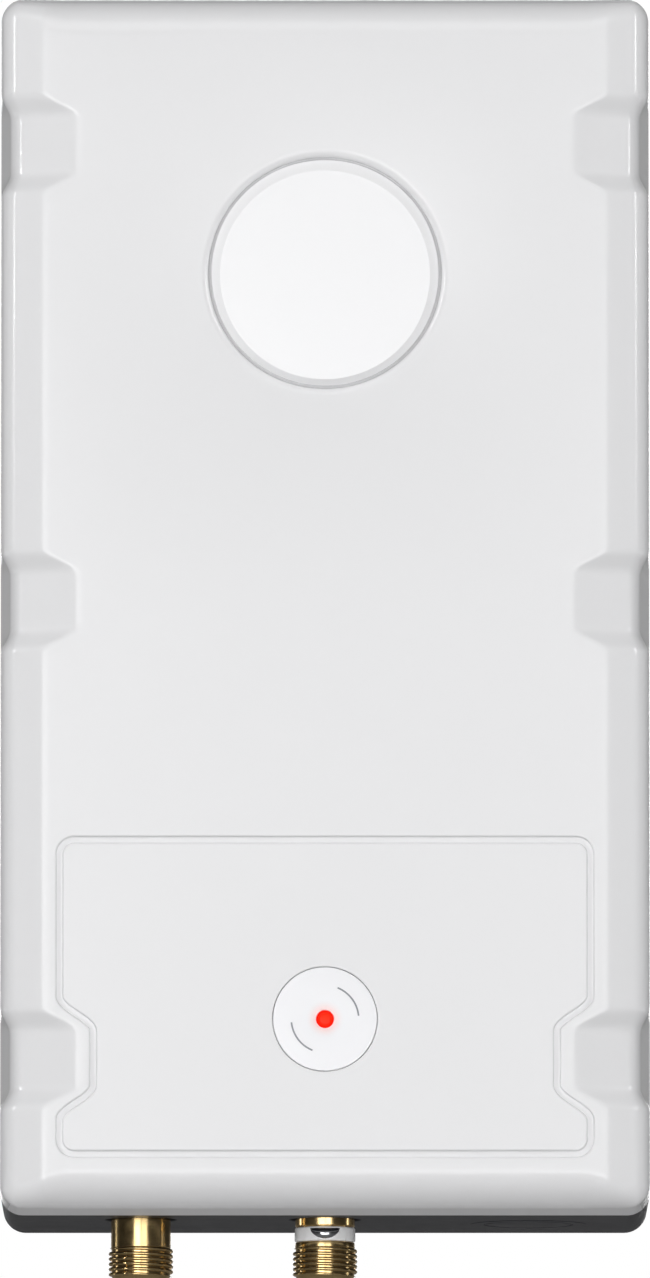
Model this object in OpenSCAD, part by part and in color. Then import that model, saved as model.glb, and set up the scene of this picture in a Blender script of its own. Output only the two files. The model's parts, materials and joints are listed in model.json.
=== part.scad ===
// Wall-mounted tankless electric water heater: moulded cover, base, water vessel and wiring.
// X runs to the right seen from the front, +Y runs into the wall and +Z up. The back face lies on y = 0.

/* [Body] */
// Width of the cover and base
body_w = 133.4; // [131:0.2:145]
// Height of the cover and base
body_h = 250; // [246:1:270]
// Depth from the wall to the front face
body_d = 73; // [72:0.5:85]
// Corner radius of the front outline
corner_r = 4.7; // [3:0.1:6]
// Thickness of the cover's moulded wall
cover_wall = 2.6; // [2:0.1:3]
// Gap between the cover and the base
cover_gap = 0.3; // [0.2:0.05:0.5]

/* [Front cap] */
// Depth of the shaped front cap, down to the lip over the underside
cap_d = 21; // [18:0.5:26]
// Width of the bevel along each side
bevel_w = 8.9; // [7:0.1:10]
// Tilt of the side bevel, in degrees
bevel_tilt = 20; // [10:1:24]
// Radius where the side bevel turns into the side wall
edge_r = 3.6; // [2.5:0.1:4]
// Width of the rounded top and bottom edges
crown_w = 8.6; // [8.4:0.1:10]
// Radius of the rounded top and bottom edges
crown_r = 8; // [5:0.1:8]
// Draft of the cap's walls over its depth
cap_draft = 0.6; // [0.2:0.1:0.8]

/* [Side bays] */
// Distance between the bays
bay_pitch = 94.2; // [80:0.2:98]
// Length of a bay at its inner edge
bay_floor = 11; // [8:0.5:14]
// Length of a bay where it leaves the flat front
bay_mouth = 21.2; // [18:0.2:26]
// How far a bay cuts into the flat front
bay_in = 6.9; // [5:0.1:8]
// Step of a bay in the side wall
bay_step = 2.1; // [1.4:0.1:2.6]

/* [Panel groove] */
// Outer width of the grooved panel
panel_w = 110.2; // [100:0.2:112]
// Height of the panel's upper edge over the underside
panel_top = 76.4; // [60:0.2:90]
// Height of the panel's lower edge over the underside
panel_low = 10.4; // [9.6:0.2:12]
// Corner radius of the panel
panel_r = 2.3; // [1.6:0.1:3]
// Width of the groove
groove_w = 1.5; // [1:0.1:2]
// Depth of the groove
groove_d = 0.7; // [0.4:0.1:1]

/* [Badge and indicator] */
// Distance from the top edge to the centre of the badge
badge_drop = 57.5; // [45:0.5:70]
// Radius of the badge disc
badge_r = 23.6; // [18:0.1:28]
// How far the badge stands proud of the front
badge_proud = 0.6; // [0.3:0.1:1]
// Depth of the badge's recess
badge_recess = 1.2; // [0.8:0.1:1.4]
// Height of the indicator over the underside
lens_up = 38.8; // [34:0.2:46]
// Radius of the indicator lens
lens_r = 10.5; // [8:0.1:13]
// Seam round the badge and the lens
seam = 0.25; // [0.15:0.05:0.5]
// Radius of the light pipe
led_r = 1.75; // [1.2:0.05:2.5]

/* [Base] */
// Thickness of the back plate
base_t = 3; // [2.5:0.1:4]
// Depth of the base's rim
rim_d = 12; // [9:0.5:14]
// Thickness of the base's rim and of the shelf under the cover
rim_t = 3; // [2.4:0.1:3.4]
// Thickness of the tongue that guides the cover
tongue_t = 2; // [1.6:0.1:2.4]
// How far the tongue reaches into the cover
tongue_h = 4; // [3:0.5:6]
// Height of the shelf's upturned ends
shelf_side = 7; // [6:0.5:9]
// Distance of the wall holes from the sides
wall_inset_x = 11.7; // [11:0.1:14]
// Distance of the wall holes from the top and the underside
wall_inset_z = 15; // [13:0.5:17]
// Radius of the wall holes
wall_hole_r = 2.4; // [2:0.1:3]
// Cable hole, distance from the right side
cable_side = 24.7; // [24:0.1:28]
// Cable hole, distance from the wall
cable_y = 26; // [22:0.5:30]
// Radius of the cable hole
cable_r = 11.1; // [9:0.1:12]

/* [Water stubs] */
// Distance from the front face back to the stubs
stub_front = 35; // [34:0.5:36]
// Distance from the left side to the outlet stub
outlet_side = 28.8; // [28.4:0.1:33]
// Radius of a stub's neck
neck_r = 6.15; // [6:0.05:6.4]
// Outer radius of a stub's thread
thread_r = 6.65; // [6.6:0.01:7.2]
// Length of a stub's thread
thread_len = 6.8; // [5:0.1:8]
// How far the stubs stand below the underside
stub_drop = 12.3; // [11.5:0.1:18]
// Radius of the socket for the supply tube
tube_r = 4.83; // [4.5:0.01:5.2]
// Depth of the socket for the supply tube
tube_depth = 10.5; // [8:0.1:11]
// Radius of the water way in the stubs
water_r = 3.6; // [3:0.1:4]

/* [Water vessel] */
// Radius of a heating chamber
chamber_r = 11; // [10:0.1:11.5]
// Wall of a heating chamber
chamber_wall = 3.5; // [3:0.1:4]
// Length of the vessel's tubes
vessel_len = 184; // [170:1:186]
// Thickness of the flange under the head
flange_t = 6; // [5:0.5:8]
// Thickness of the head gasket
gasket_t = 1.5; // [1:0.1:2]
// Thickness of the head's plate
head_t = 7; // [6:0.5:8]
// Height of the head's cross-over crown
crown_h = 7.5; // [7:0.5:9]
// Radius of the heating coil
coil_r = 8; // [7:0.1:8.5]
// Radius of the heating wire
coil_wire_r = 0.7; // [0.5:0.05:0.8]
// Turns of a heating coil
coil_turns = 15; // [10:1:20]
// Travel of the flow shuttle
shuttle_travel = 6; // [4:0.5:7]

/* [Electrics] */
// Width of the control board
board_w = 66; // [62:1:68]
// Height of the control board
board_h = 66; // [64:1:68]
// Thickness of the control board
board_t = 1.6; // [1.2:0.1:2]
// Gap between the vessel and the control board
board_gap = 5.9; // [5:0.1:6.5]
// Width of the supply terminal block
term_w = 33; // [30:0.5:34]
// Travel of the reset button
reset_travel = 1.2; // [0.8:0.1:1.5]
// Radius of the power leads
lead_r = 1.6; // [1.2:0.1:1.8]
// Radius of the sensor lead
sensor_lead_r = 0.9; // [0.6:0.1:1]

/* [Hidden] */
$fn = 48;

// Outline and depth of the body
half_w = body_w / 2;
half_h = body_h / 2;
floor_z = -half_h;
front_y = -body_d;
flat_w = half_w - bevel_w;
flat_h = half_h - crown_w;
rear_y = -rim_d - cover_gap;
crown_tilt = 3;
past = 1;

// Inside of the cover
inner_w = half_w - bay_step - cover_wall;
inner_h = half_h - cap_draft - cover_wall;
inner_front = front_y + cover_wall;
bay_flat = flat_w - bay_in;
bay_zs = [-bay_pitch, 0, bay_pitch];
bay_edge_r = 2.6;
shelf_front = front_y + cap_d + cover_gap;

// Fasteners
pan_h = 2;
pan_r = 3;
screw_r = 1.6;
screw_fit = 0.1;
screw_free = 0.5;
pilot = 4;
side_screw_y = rim_d + 6;
side_screw_r = 1.8;
side_head_r = 3.6;
side_head_h = 1.8;
side_boss = 5;

// Heights in the water vessel, from the underside up
stub_y = body_d - stub_front;
inlet_x = 0;
outlet_x = outlet_side - half_w;
mid_x = (inlet_x + outlet_x) / 2;
stub_xs = [outlet_x, inlet_x];
sock_z = floor_z + 13;
stub_top = sock_z + 14;
ledge_z = stub_top + 6;
seat_z = ledge_z + 4;
chamber_z = seat_z + 24;
vessel_z = floor_z + 25;
vessel_top = vessel_z + vessel_len;
head_z = vessel_top + gasket_t;
crown_z = head_z + head_t;
head_top = crown_z + crown_h;
roof_t = 4;
tube_out = chamber_r + chamber_wall;
flange_r = tube_out + 4.5;
sock_r = 6.45;
sock_out = 11;
narrow_r = 4.5;
shuttle_bore = 7;
shuttle_gap = 0.3;
shuttle_len = 14;

// Stubs
stub_end = floor_z - stub_drop;
thread_z = stub_end + thread_len;
spigot_r = sock_r - 0.05;
stub_flange_r = 9.5;
stub_flange_t = 3;
retainer_z = sock_z - stub_flange_t;
retainer_t = 1.5;
gland_z = sock_z + 6;
gland_h = 2.5;
gland_r = 4.95;
ring_r = 0.7;
collar_top = thread_z + 4;
collar_h = 3.2;
collar_seat = 5.2;

// Where the vessel is held
ear_r = 4.5;
ear_t = 6;
ear_xs = [outlet_x - tube_out - 3.1, inlet_x + tube_out + 3.5];
ear_zs = [vessel_z + 20, vessel_top - 22];
ear_back = stub_y - tube_out - 0.5;
bolt_ring = tube_out + 1.9;
bolt_angle = 50;

// Heating elements
rear_leg = 4;
terminal_r = 2;
terminal_low = head_z + 2.5;
terminal_top = head_top + 10;
nut_r = 3.8;
nut_h = 3.2;
lug_z = head_top + nut_h;
core_gap = 0.3;

// Control board, in front of the vessel
board_back = -(stub_y + tube_out + board_gap);
board_front = board_back - board_t;
board_x = mid_x + 8;
board_z = floor_z + 54;
board_low = floor_z + 29;
board_high = floor_z + 79;
lens_z = floor_z + lens_up;
led_top = 4.6;

// Right-hand wiring space
cable_x = half_w - cable_side;
term_z = floor_z + 82;
term_x = cable_x;
term_h = 18;
term_d = 20;
pole_pitch = term_w / 3;
clamp_z = floor_z + 27;
clamp_reach = 12;
clamp_post = 14;
cutout_z = vessel_top - 39;
cutout_y = -(stub_y + tube_out + 2.5);
cutout_pad = [18, 32];
switch_pad = [18, 40];
sensor_pad = [10, 20];
blade_reach = 15;
switch_z = vessel_z + 100;
pad_x = inlet_x + tube_out + 1;
plate_t = 2;
plate_x = pad_x + plate_t;
sensor_z = seat_z + 12;
sensor_x = inlet_x + tube_out + past + 0.3;

// Depth profile of a rounded edge: points of distance from the middle and depth behind the front
function rounded_edge(half, flat, tilt, r, steps = 8) =
    let (turn_d = (half - flat) * tan(tilt) + r * tan((90 - tilt) / 2))
    concat([[flat, 0]], [for (i = [0 : steps])
        let (a = tilt + (90 - tilt) * i / steps)
        [half - r + r * sin(a), turn_d - r * cos(a)]]);
function deeper(edge, d) = [for (p = edge) [p[0], p[1] + d]];
function both_sides(pts) = concat(pts, [for (i = [len(pts) - 1 : -1 : 0]) [-pts[i][0], pts[i][1]]]);

side_edge = concat(rounded_edge(half_w - cap_draft / 2, flat_w, bevel_tilt, edge_r), [[half_w, cap_d]]);
crown_edge = concat(rounded_edge(half_h - cap_draft, flat_h, crown_tilt, crown_r), [[half_h, cap_d]]);
bay_edge = concat(rounded_edge(half_w - bay_step, bay_flat, bevel_tilt, bay_edge_r),
    [[half_w, cap_d]]);
inner_side = deeper(rounded_edge(inner_w, bay_flat - cover_wall * tan(bevel_tilt / 2),
    bevel_tilt, bay_edge_r), cover_wall);
inner_crown = deeper(rounded_edge(inner_h, flat_h, crown_tilt, crown_r - cover_wall), cover_wall);

// Smooth tubes along hand-chosen routes
function unit(v) = v / norm(v);
function tangents(p) = let (n = len(p) - 1)
    [for (i = [0 : n]) unit(p[min(i + 1, n)] - p[max(i - 1, 0)])];
function side_of(t) = unit(cross(t, abs(t[2]) < 0.9 ? [0, 0, 1] : [1, 0, 0]));
function carried(v, t) = unit(v - (v * t) * t);
function sides_along(t) = [for (i = 0, v = side_of(t[0]); i < len(t);
    i = i + 1, v = i < len(t) ? carried(v, t[i]) : v) v];
function spline_point(a, b, c, d, u) = 0.5 * (2 * b + (c - a) * u
    + (2 * a - 5 * b + 4 * c - d) * u * u + (3 * b - a - 3 * c + d) * u * u * u);
function smooth_route(p, steps) = let (n = len(p) - 1)
    concat([for (i = [0 : n - 1]) for (k = [0 : steps - 1])
        spline_point(p[max(i - 1, 0)], p[i], p[i + 1], p[min(i + 2, n)], k / steps)], [p[n]]);

module tube_along(p, r, sides) {
    t = tangents(p);
    v = sides_along(t);
    last = len(p) - 1;
    points = [for (i = [0 : last]) for (k = [0 : sides - 1])
        let (a = 360 * k / sides)
        p[i] + r * (cos(a) * v[i] + sin(a) * cross(t[i], v[i]))];
    walls = [for (i = [0 : last - 1]) for (k = [0 : sides - 1])
        let (a = i * sides + k, d = i * sides + (k + 1) % sides)
        each [[a, a + sides, d + sides], [a, d + sides, d]]];
    first_cap = [for (k = [1 : sides - 2]) [0, k, k + 1]];
    end = last * sides;
    last_cap = [for (k = [1 : sides - 2]) [end, end + k + 1, end + k]];
    polyhedron(points, concat(walls, first_cap, last_cap));
}

// Extrusions along the three axes
module along_x(x0, x1) translate([x0, 0, 0]) rotate([90, 0, 90]) linear_extrude(x1 - x0) children();
module along_y(y0, y1) translate([0, y1, 0]) rotate([90, 0, 0]) linear_extrude(y1 - y0) children();
module along_z(z0, z1) translate([0, 0, z0]) linear_extrude(z1 - z0) children();
module rod_y(r, y0, y1) translate([0, y1, 0]) rotate([90, 0, 0]) cylinder(r = r, h = y1 - y0);
module rod_z(r, z0, z1) translate([0, 0, z0]) cylinder(r = r, h = z1 - z0);
module box(low, high) translate(low) cube(high - low);

module rounded_rect(w, h, r) {
    square([w - 2 * r, h], center = true);
    square([w, h - 2 * r], center = true);
    for (x = [-1, 1], y = [-1, 1])
        translate([x * (w / 2 - r), y * (h / 2 - r)]) circle(r);
}

// Plate outline round two points: two discs joined by a straight band
module link_outline(x0, x1, r) {
    translate([x0, 0]) circle(r);
    translate([x1, 0]) circle(r);
    translate([x0, -r]) square([x1 - x0, 2 * r]);
}

// Shell form: a front outline cut by the plan profile and the side profile
module shaped_block(w, h, r, side, crown, rear) {
    intersection() {
        along_y(front_y - past, rear) rounded_rect(w, h, r);
        along_z(-h, h) polygon(both_sides(concat([for (p = side) [p[0], front_y + p[1]]],
            [[side[len(side) - 1][0], rear + past]])));
        along_x(-w, w) polygon([for (p = both_sides(concat(crown,
            [[crown[len(crown) - 1][0], rear + past - front_y]]))) [front_y + p[1], p[0]]]);
    }
}

// One side bay: a straight middle, and two ends that lean out of the side
module bay_cut() {
    outer_x = half_w + 2 * bay_in;
    end_h = (bay_mouth - bay_floor) / 2;
    lean = atan(bay_in / end_h);
    profile = concat([[outer_x, -past], [bay_flat - past / tan(bevel_tilt), -past]], bay_edge,
        [[outer_x, cap_d]]);
    along_z(-bay_floor / 2, bay_floor / 2) polygon([for (p = profile) [p[0], front_y + p[1]]]);
    for (s = [-1, 1]) intersection() {
        box([0, 2 * front_y, min(s * bay_floor, s * bay_mouth) / 2],
            [2 * outer_x, 0, max(s * bay_floor, s * bay_mouth) / 2]);
        translate([0, 0, s * bay_floor / 2]) rotate([0, s * lean, 0])
            linear_extrude(body_w, center = true)
                polygon([for (p = profile) [p[0] * cos(lean), front_y + p[1]]]);
    }
}

// Outline of the grooved panel, drawn in to follow the lowest bays
function eased(u) = (1 - cos(180 * u)) / 2;
panel_bay = bay_floor / 2;
panel_run = 7.2;
panel_steps = 8;
panel_right = concat(
    [for (i = [0 : panel_steps]) let (a = -90 + 90 * i / panel_steps)
        [panel_w / 2 - panel_r + panel_r * cos(a), floor_z + panel_low + panel_r + panel_r * sin(a)]],
    [for (i = [0 : panel_steps]) let (u = i / panel_steps)
        [panel_w / 2 - bay_in * eased(u), -bay_pitch - panel_bay - panel_run * (1 - u)]],
    [for (i = [0 : panel_steps]) let (u = i / panel_steps)
        [panel_w / 2 - bay_in * eased(1 - u), -bay_pitch + panel_bay + panel_run * u]],
    [for (i = [0 : panel_steps]) let (a = 90 * i / panel_steps)
        [panel_w / 2 - panel_r + panel_r * cos(a), floor_z + panel_top - panel_r + panel_r * sin(a)]]);

module panel_groove() {
    along_y(front_y - past, front_y + groove_d) difference() {
        polygon(both_sides(panel_right));
        offset(delta = -groove_w) polygon(both_sides(panel_right));
    }
}

// Open slot with a countersink, from a side screw out through the cover's rear edge
module screw_slot() {
    slot_r = side_screw_r + cover_gap;
    sink_r = side_head_r + cover_gap;
    sink_x = half_w - side_head_h - cover_gap;
    outer_x = half_w + past;
    outer_r = sink_r + past;
    translate([0, -side_screw_y, 0]) rotate([0, 90, 0]) {
        cylinder(r = slot_r, h = outer_x);
        translate([0, 0, sink_x]) cylinder(r1 = slot_r, r2 = outer_r, h = outer_x - sink_x);
    }
    along_y(-side_screw_y, rear_y + past) polygon([[inner_w - past, -slot_r], [sink_x, -slot_r],
        [outer_x, -outer_r], [outer_x, outer_r], [sink_x, slot_r], [inner_w - past, slot_r]]);
}

rib_t = 1.6;
rib_h = 3;
rib_x = 15;

module front_cover() {
    color("whitesmoke") difference() {
        union() {
            difference() {
                shaped_block(body_w, body_h, corner_r, side_edge, crown_edge, rear_y);
                shaped_block(2 * inner_w, 2 * inner_h, corner_r, inner_side, inner_crown, rear_y + past);
                box([-body_w, front_y + cap_d, floor_z - past],
                    [body_w, rear_y + past, floor_z + shelf_side + cover_gap]);
            }
            for (x = [-rib_x, rib_x])
                box([x - rib_t / 2, inner_front - past, switch_z - 25],
                    [x + rib_t / 2, inner_front + rib_h, cutout_z + 50]);
        }
        for (z = bay_zs) translate([0, 0, z]) {
            bay_cut();
            mirror([1, 0, 0]) bay_cut();
        }
        panel_groove();
        translate([0, 0, half_h - badge_drop]) rod_y(badge_r + seam, front_y - past, front_y + badge_recess);
        translate([0, 0, lens_z]) rod_y(lens_r + seam, front_y - past, inner_front + past);
        screw_slot();
        mirror([1, 0, 0]) screw_slot();
    }
}

badge_bevel = 1.6;

module badge_disc() {
    color("white") translate([0, front_y + badge_recess, half_h - badge_drop]) rotate([90, 0, 0])
        rotate_extrude() polygon([[0, 0], [badge_r, 0], [badge_r, badge_recess],
            [badge_r - badge_bevel, badge_recess + badge_proud], [0, badge_recess + badge_proud]]);
}

lens_sunk = 0.15;
lens_flange = 2.5;
lens_flange_t = 1.4;
pipe_gap = 0.1;
pipe_collar_t = 1;

module indicator_lens() {
    color("ghostwhite") translate([0, 0, lens_z]) difference() {
        union() {
            rod_y(lens_r, front_y + lens_sunk, inner_front);
            rod_y(lens_r + lens_flange, inner_front, inner_front + lens_flange_t);
        }
        rod_y(led_r + pipe_gap, front_y - past, 0);
    }
}

module light_pipe() {
    color("red") translate([0, 0, lens_z]) {
        rod_y(led_r, front_y + lens_sunk / 2, board_front - led_top - cover_gap);
        rod_y(led_r + past, inner_front + lens_flange_t, inner_front + lens_flange_t + pipe_collar_t);
    }
}

// Countersunk side screw, along X, head outwards
module side_screw() {
    translate([half_w - cover_gap, -side_screw_y, 0]) rotate([0, -90, 0]) {
        cylinder(r1 = side_head_r, r2 = side_screw_r, h = side_head_h);
        cylinder(r = side_screw_r, h = half_w - inner_w + side_boss);
    }
}

module cover_screws() {
    color("silver") {
        side_screw();
        mirror([1, 0, 0]) side_screw();
    }
}

tongue_w = inner_w - cover_gap;
tongue_z = inner_h - cover_gap;
base_rib_zs = [-10, 30, 75];
base_rib_xs = [-20, 20];
stub_hole_r = thread_r + 0.7;

module base_shell() {
    difference() {
        along_y(-rim_d, 0) rounded_rect(body_w, body_h, corner_r);
        along_y(-rim_d - past, -base_t)
            rounded_rect(body_w - 2 * rim_t, body_h - 2 * rim_t, corner_r - rim_t / 2);
    }
    difference() {
        along_y(-rim_d - tongue_h, -base_t + past / 2)
            rounded_rect(2 * tongue_w, 2 * tongue_z, corner_r);
        along_y(-rim_d - tongue_h - past, -base_t)
            rounded_rect(2 * (tongue_w - tongue_t), 2 * (tongue_z - tongue_t), corner_r - tongue_t / 2);
        box([-body_w, -rim_d - tongue_h - past, floor_z], [body_w, -rim_d, floor_z + shelf_side + tongue_t]);
    }
    difference() {
        along_y(shelf_front, 0) rounded_rect(body_w, body_h, corner_r);
        along_y(shelf_front - past, -base_t)
            rounded_rect(body_w - 2 * rim_t, body_h - 2 * rim_t, corner_r - rim_t / 2);
        box([-body_w, shelf_front - past, floor_z + shelf_side], [body_w, -rim_d, half_h + past]);
    }
}

module post_y(x, z, r, reach, hole) translate([x, 0, z]) difference() {
    rod_y(r, -reach, -base_t / 2);
    rod_y(hole, -reach - past, -base_t);
}

module base_tray() {
    color("dimgray") difference() {
        union() {
            base_shell();
            for (z = base_rib_zs)
                box([-tongue_w, -base_t - rib_h, z - rib_t / 2], [tongue_w, -base_t / 2, z + rib_t / 2]);
            for (x = base_rib_xs)
                box([x - rib_t / 2, -base_t - rib_h, floor_z + rim_t],
                    [x + rib_t / 2, -base_t / 2, half_h - rim_t]);
            for (x = ear_xs, z = ear_zs) post_y(x, z, ear_r, ear_back, screw_r + screw_fit);
            for (x = [-1, 1])
                post_y(cable_x + x * clamp_reach, clamp_z, ear_r - 0.5, base_t + clamp_post, screw_r + screw_fit);
            for (x = [-1, 1]) {
                reach = tongue_w - tongue_t / 2;
                box([min(x * reach, x * (reach - side_boss)), -side_screw_y - side_boss, -side_boss],
                    [max(x * reach, x * (reach - side_boss)), -base_t / 2, side_boss]);
                box([min(x * reach, x * tongue_w), -side_screw_y - side_boss, -side_boss],
                    [max(x * reach, x * tongue_w), -base_t / 2, side_boss]);
            }
        }
        for (x = [-1, 1], z = [-1, 1])
            translate([x * (half_w - wall_inset_x), 0, z * (half_h - wall_inset_z)])
                rod_y(wall_hole_r, -rim_d, past);
        for (x = stub_xs) translate([x, -stub_y, 0]) rod_z(stub_hole_r, floor_z - past, floor_z + shelf_side);
        translate([cable_x, -cable_y, 0]) rod_z(cable_r, floor_z - past, floor_z + shelf_side);
        translate([-body_w / 2, -side_screw_y, 0]) rotate([0, 90, 0])
            cylinder(r = side_screw_r + screw_fit, h = body_w);
    }
}

// Positions of the head's screws, in plan
head_bolts = concat(
    [for (y = [-1, 1]) [outlet_x - bolt_ring * cos(bolt_angle), -stub_y + y * bolt_ring * sin(bolt_angle)]],
    [for (y = [-1, 1]) [inlet_x + bolt_ring * cos(bolt_angle), -stub_y + y * bolt_ring * sin(bolt_angle)]],
    [for (y = [-1, 1]) [mid_x, -stub_y + y * bolt_ring]]);
terminal_ys = [-stub_y - coil_r, -stub_y + rear_leg];
tube_rib_pitch = 22;
web_t = 10;
block_w = 16;
block_d = 22;
retainer_bolt = 7;

// Flat pad on the right of the inlet tube
module side_pad(size, z, face_x) box([inlet_x + chamber_r, -stub_y - size[0] / 2, z - size[1] / 2],
    [face_x, -stub_y + size[0] / 2, z + size[1] / 2]);

module vessel_solid() {
    for (x = stub_xs) translate([x, -stub_y, 0]) {
        rod_z(tube_out, vessel_z, vessel_top);
        rod_z(sock_out, sock_z, vessel_z + past);
        for (z = [vessel_z + 8 : tube_rib_pitch : vessel_top - tube_rib_pitch])
            rod_z(tube_out + past, z, z + 2);
    }
    box([outlet_x, -stub_y - web_t / 2, vessel_z], [inlet_x, -stub_y + web_t / 2, vessel_top]);
    translate([0, -stub_y, 0]) along_z(vessel_top - flange_t, vessel_top)
        link_outline(outlet_x, inlet_x, flange_r);
    box([mid_x - block_w / 2, -stub_y - block_d / 2, retainer_z],
        [mid_x + block_w / 2, -stub_y + block_d / 2, vessel_z + past]);
    for (z = ear_zs) translate([0, 0, z])
        along_y(-ear_back - ear_t, -ear_back) link_outline(ear_xs[0], ear_xs[1], ear_r);
    for (x = stub_xs, z = [board_low, board_high]) translate([x, 0, z])
        rod_y(ear_r - past, board_back, -stub_y - chamber_r - past);
    box([outlet_x - cutout_pad[0] / 2, cutout_y, cutout_z - cutout_pad[1] / 2],
        [outlet_x + cutout_pad[0] / 2, -stub_y - chamber_r, cutout_z + cutout_pad[1] / 2]);
    side_pad(switch_pad, switch_z, pad_x);
    side_pad(sensor_pad, sensor_z, sensor_x);
}

module vessel_body() {
    color("slategray") difference() {
        vessel_solid();
        for (x = stub_xs) translate([x, -stub_y, 0]) {
            rod_z(chamber_r, chamber_z, vessel_top + past);
            rod_z(sock_r, sock_z - past, x == inlet_x ? ledge_z : stub_top + past);
            rod_z(narrow_r, sock_z, chamber_z + past);
        }
        translate([inlet_x, -stub_y, 0]) rod_z(shuttle_bore, seat_z, chamber_z + past);
        for (b = head_bolts) translate([b[0], b[1], 0])
            rod_z(screw_r + screw_fit, vessel_top - flange_t - past, vessel_top + past);
        for (y = [-1, 1]) translate([mid_x, -stub_y + y * retainer_bolt, 0])
            rod_z(screw_r + screw_fit, retainer_z - past, vessel_z - past);
        for (x = ear_xs, z = ear_zs) translate([x, 0, z])
            rod_y(screw_r + screw_free, -ear_back - ear_t - past, -ear_back + past);
        for (x = stub_xs, z = [board_low, board_high]) translate([x, 0, z])
            rod_y(screw_r + screw_fit, board_back - past, -stub_y - tube_out);
        for (z = [-1, 1]) translate([outlet_x, 0, cutout_z + z * cutout_bolt])
            rod_y(screw_r + screw_fit, cutout_y - past, cutout_y + pilot);
        translate([pad_x - pilot, -stub_y, switch_z + switch_bolt]) rotate([0, 90, 0])
            cylinder(r = screw_r + screw_fit, h = pilot + past);
    }
}

module vessel_head() {
    color("slategray") difference() {
        translate([0, -stub_y, 0]) {
            along_z(head_z, crown_z) link_outline(outlet_x, inlet_x, flange_r);
            along_z(crown_z - past, head_top) link_outline(outlet_x, inlet_x, chamber_r + 2);
        }
        translate([0, -stub_y, 0]) along_z(head_z - past, head_top - roof_t)
            link_outline(outlet_x, inlet_x, chamber_r);
        for (x = stub_xs, y = terminal_ys) translate([x, y, 0])
            rod_z(terminal_r + screw_fit, head_top - roof_t - past, head_top + past);
        for (b = head_bolts) translate([b[0], b[1], 0]) rod_z(screw_r + screw_free, head_z - past, crown_z + past);
    }
}

module head_gasket() {
    color("black") along_z(vessel_top, head_z) difference() {
        translate([0, -stub_y]) link_outline(outlet_x, inlet_x, flange_r);
        for (x = stub_xs) translate([x, -stub_y]) circle(chamber_r);
        for (b = head_bolts) translate(b) circle(screw_r + screw_free);
    }
}

// Pan-head screw standing on its thread, head up
module pan_screw(length) {
    rod_z(screw_r, -length, past);
    rotate_extrude() polygon([[0, 0], [pan_r, 0], [pan_r, pan_h / 2], [pan_r * 0.7, pan_h], [0, pan_h]]);
}

// The same screw driven from the front into the part
module front_screw(x, y, z, length) translate([x, y, z]) rotate([90, 0, 0]) pan_screw(length);

module head_screws() color("silver") for (b = head_bolts)
    translate([b[0], b[1], crown_z]) pan_screw(head_t + gasket_t + flange_t);

module vessel_screws() color("silver") for (x = ear_xs, z = ear_zs)
    front_screw(x, -ear_back - ear_t, z, ear_t + 10);

core_t = 1.6;
core_end = 3;
coil_low = chamber_z + 14;
coil_high = vessel_top - 10;

// Cross-shaped former with a wider spider at each end
module element_core(x) {
    core_w = coil_r - coil_wire_r - core_gap;
    spider_w = chamber_r - core_gap;
    color("linen") translate([x, -stub_y, 0]) for (a = [45, 135]) rotate([0, 0, a]) {
        box([-core_w, -core_t / 2, chamber_z + core_gap], [core_w, core_t / 2, vessel_top - core_gap]);
        box([-spider_w, -core_t / 2, chamber_z + core_gap], [spider_w, core_t / 2, chamber_z + core_end]);
        box([-spider_w, -core_t / 2, vessel_top - core_end], [spider_w, core_t / 2, vessel_top - core_gap]);
    }
}

// Route of a heating wire: down from its terminal, round the core and back up inside
function coil_route(x) = let (steps = 8, turns = coil_turns + 0.5, last = steps * turns)
    concat([[x, -stub_y - coil_r, terminal_low - core_gap / 2]],
        [for (i = [0 : last]) let (a = -90 + 360 * i / steps)
            [x + coil_r * cos(a), -stub_y + coil_r * sin(a), coil_high - (coil_high - coil_low) * i / last]],
        [for (i = [1 : 4]) let (a = 45 * i, bend = (coil_r - rear_leg) / 2)
            [x, -stub_y + rear_leg + bend + bend * cos(a), coil_low - 2 - bend * sin(a)]],
        [[x, -stub_y + rear_leg, terminal_low - core_gap / 2]]);

module heating_coil(x) color("darkgray") tube_along(coil_route(x), coil_wire_r, 6);

module element_terminals() color("gold") for (x = stub_xs, y = terminal_ys) translate([x, y, 0]) {
    rod_z(terminal_r, terminal_low, terminal_top);
    rod_z(terminal_r + 0.7, head_top - roof_t - 1.5, head_top - roof_t);
    translate([0, 0, head_top]) cylinder(r = nut_r, h = nut_h, $fn = 6);
}

link_t = 1.2;

module element_link() color("peru") along_z(lug_z, lug_z + link_t) difference() {
    translate([0, -stub_y + rear_leg]) link_outline(outlet_x, inlet_x, nut_r + 0.2);
    for (x = stub_xs) translate([x, -stub_y + rear_leg]) circle(terminal_r + screw_fit);
}

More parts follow.
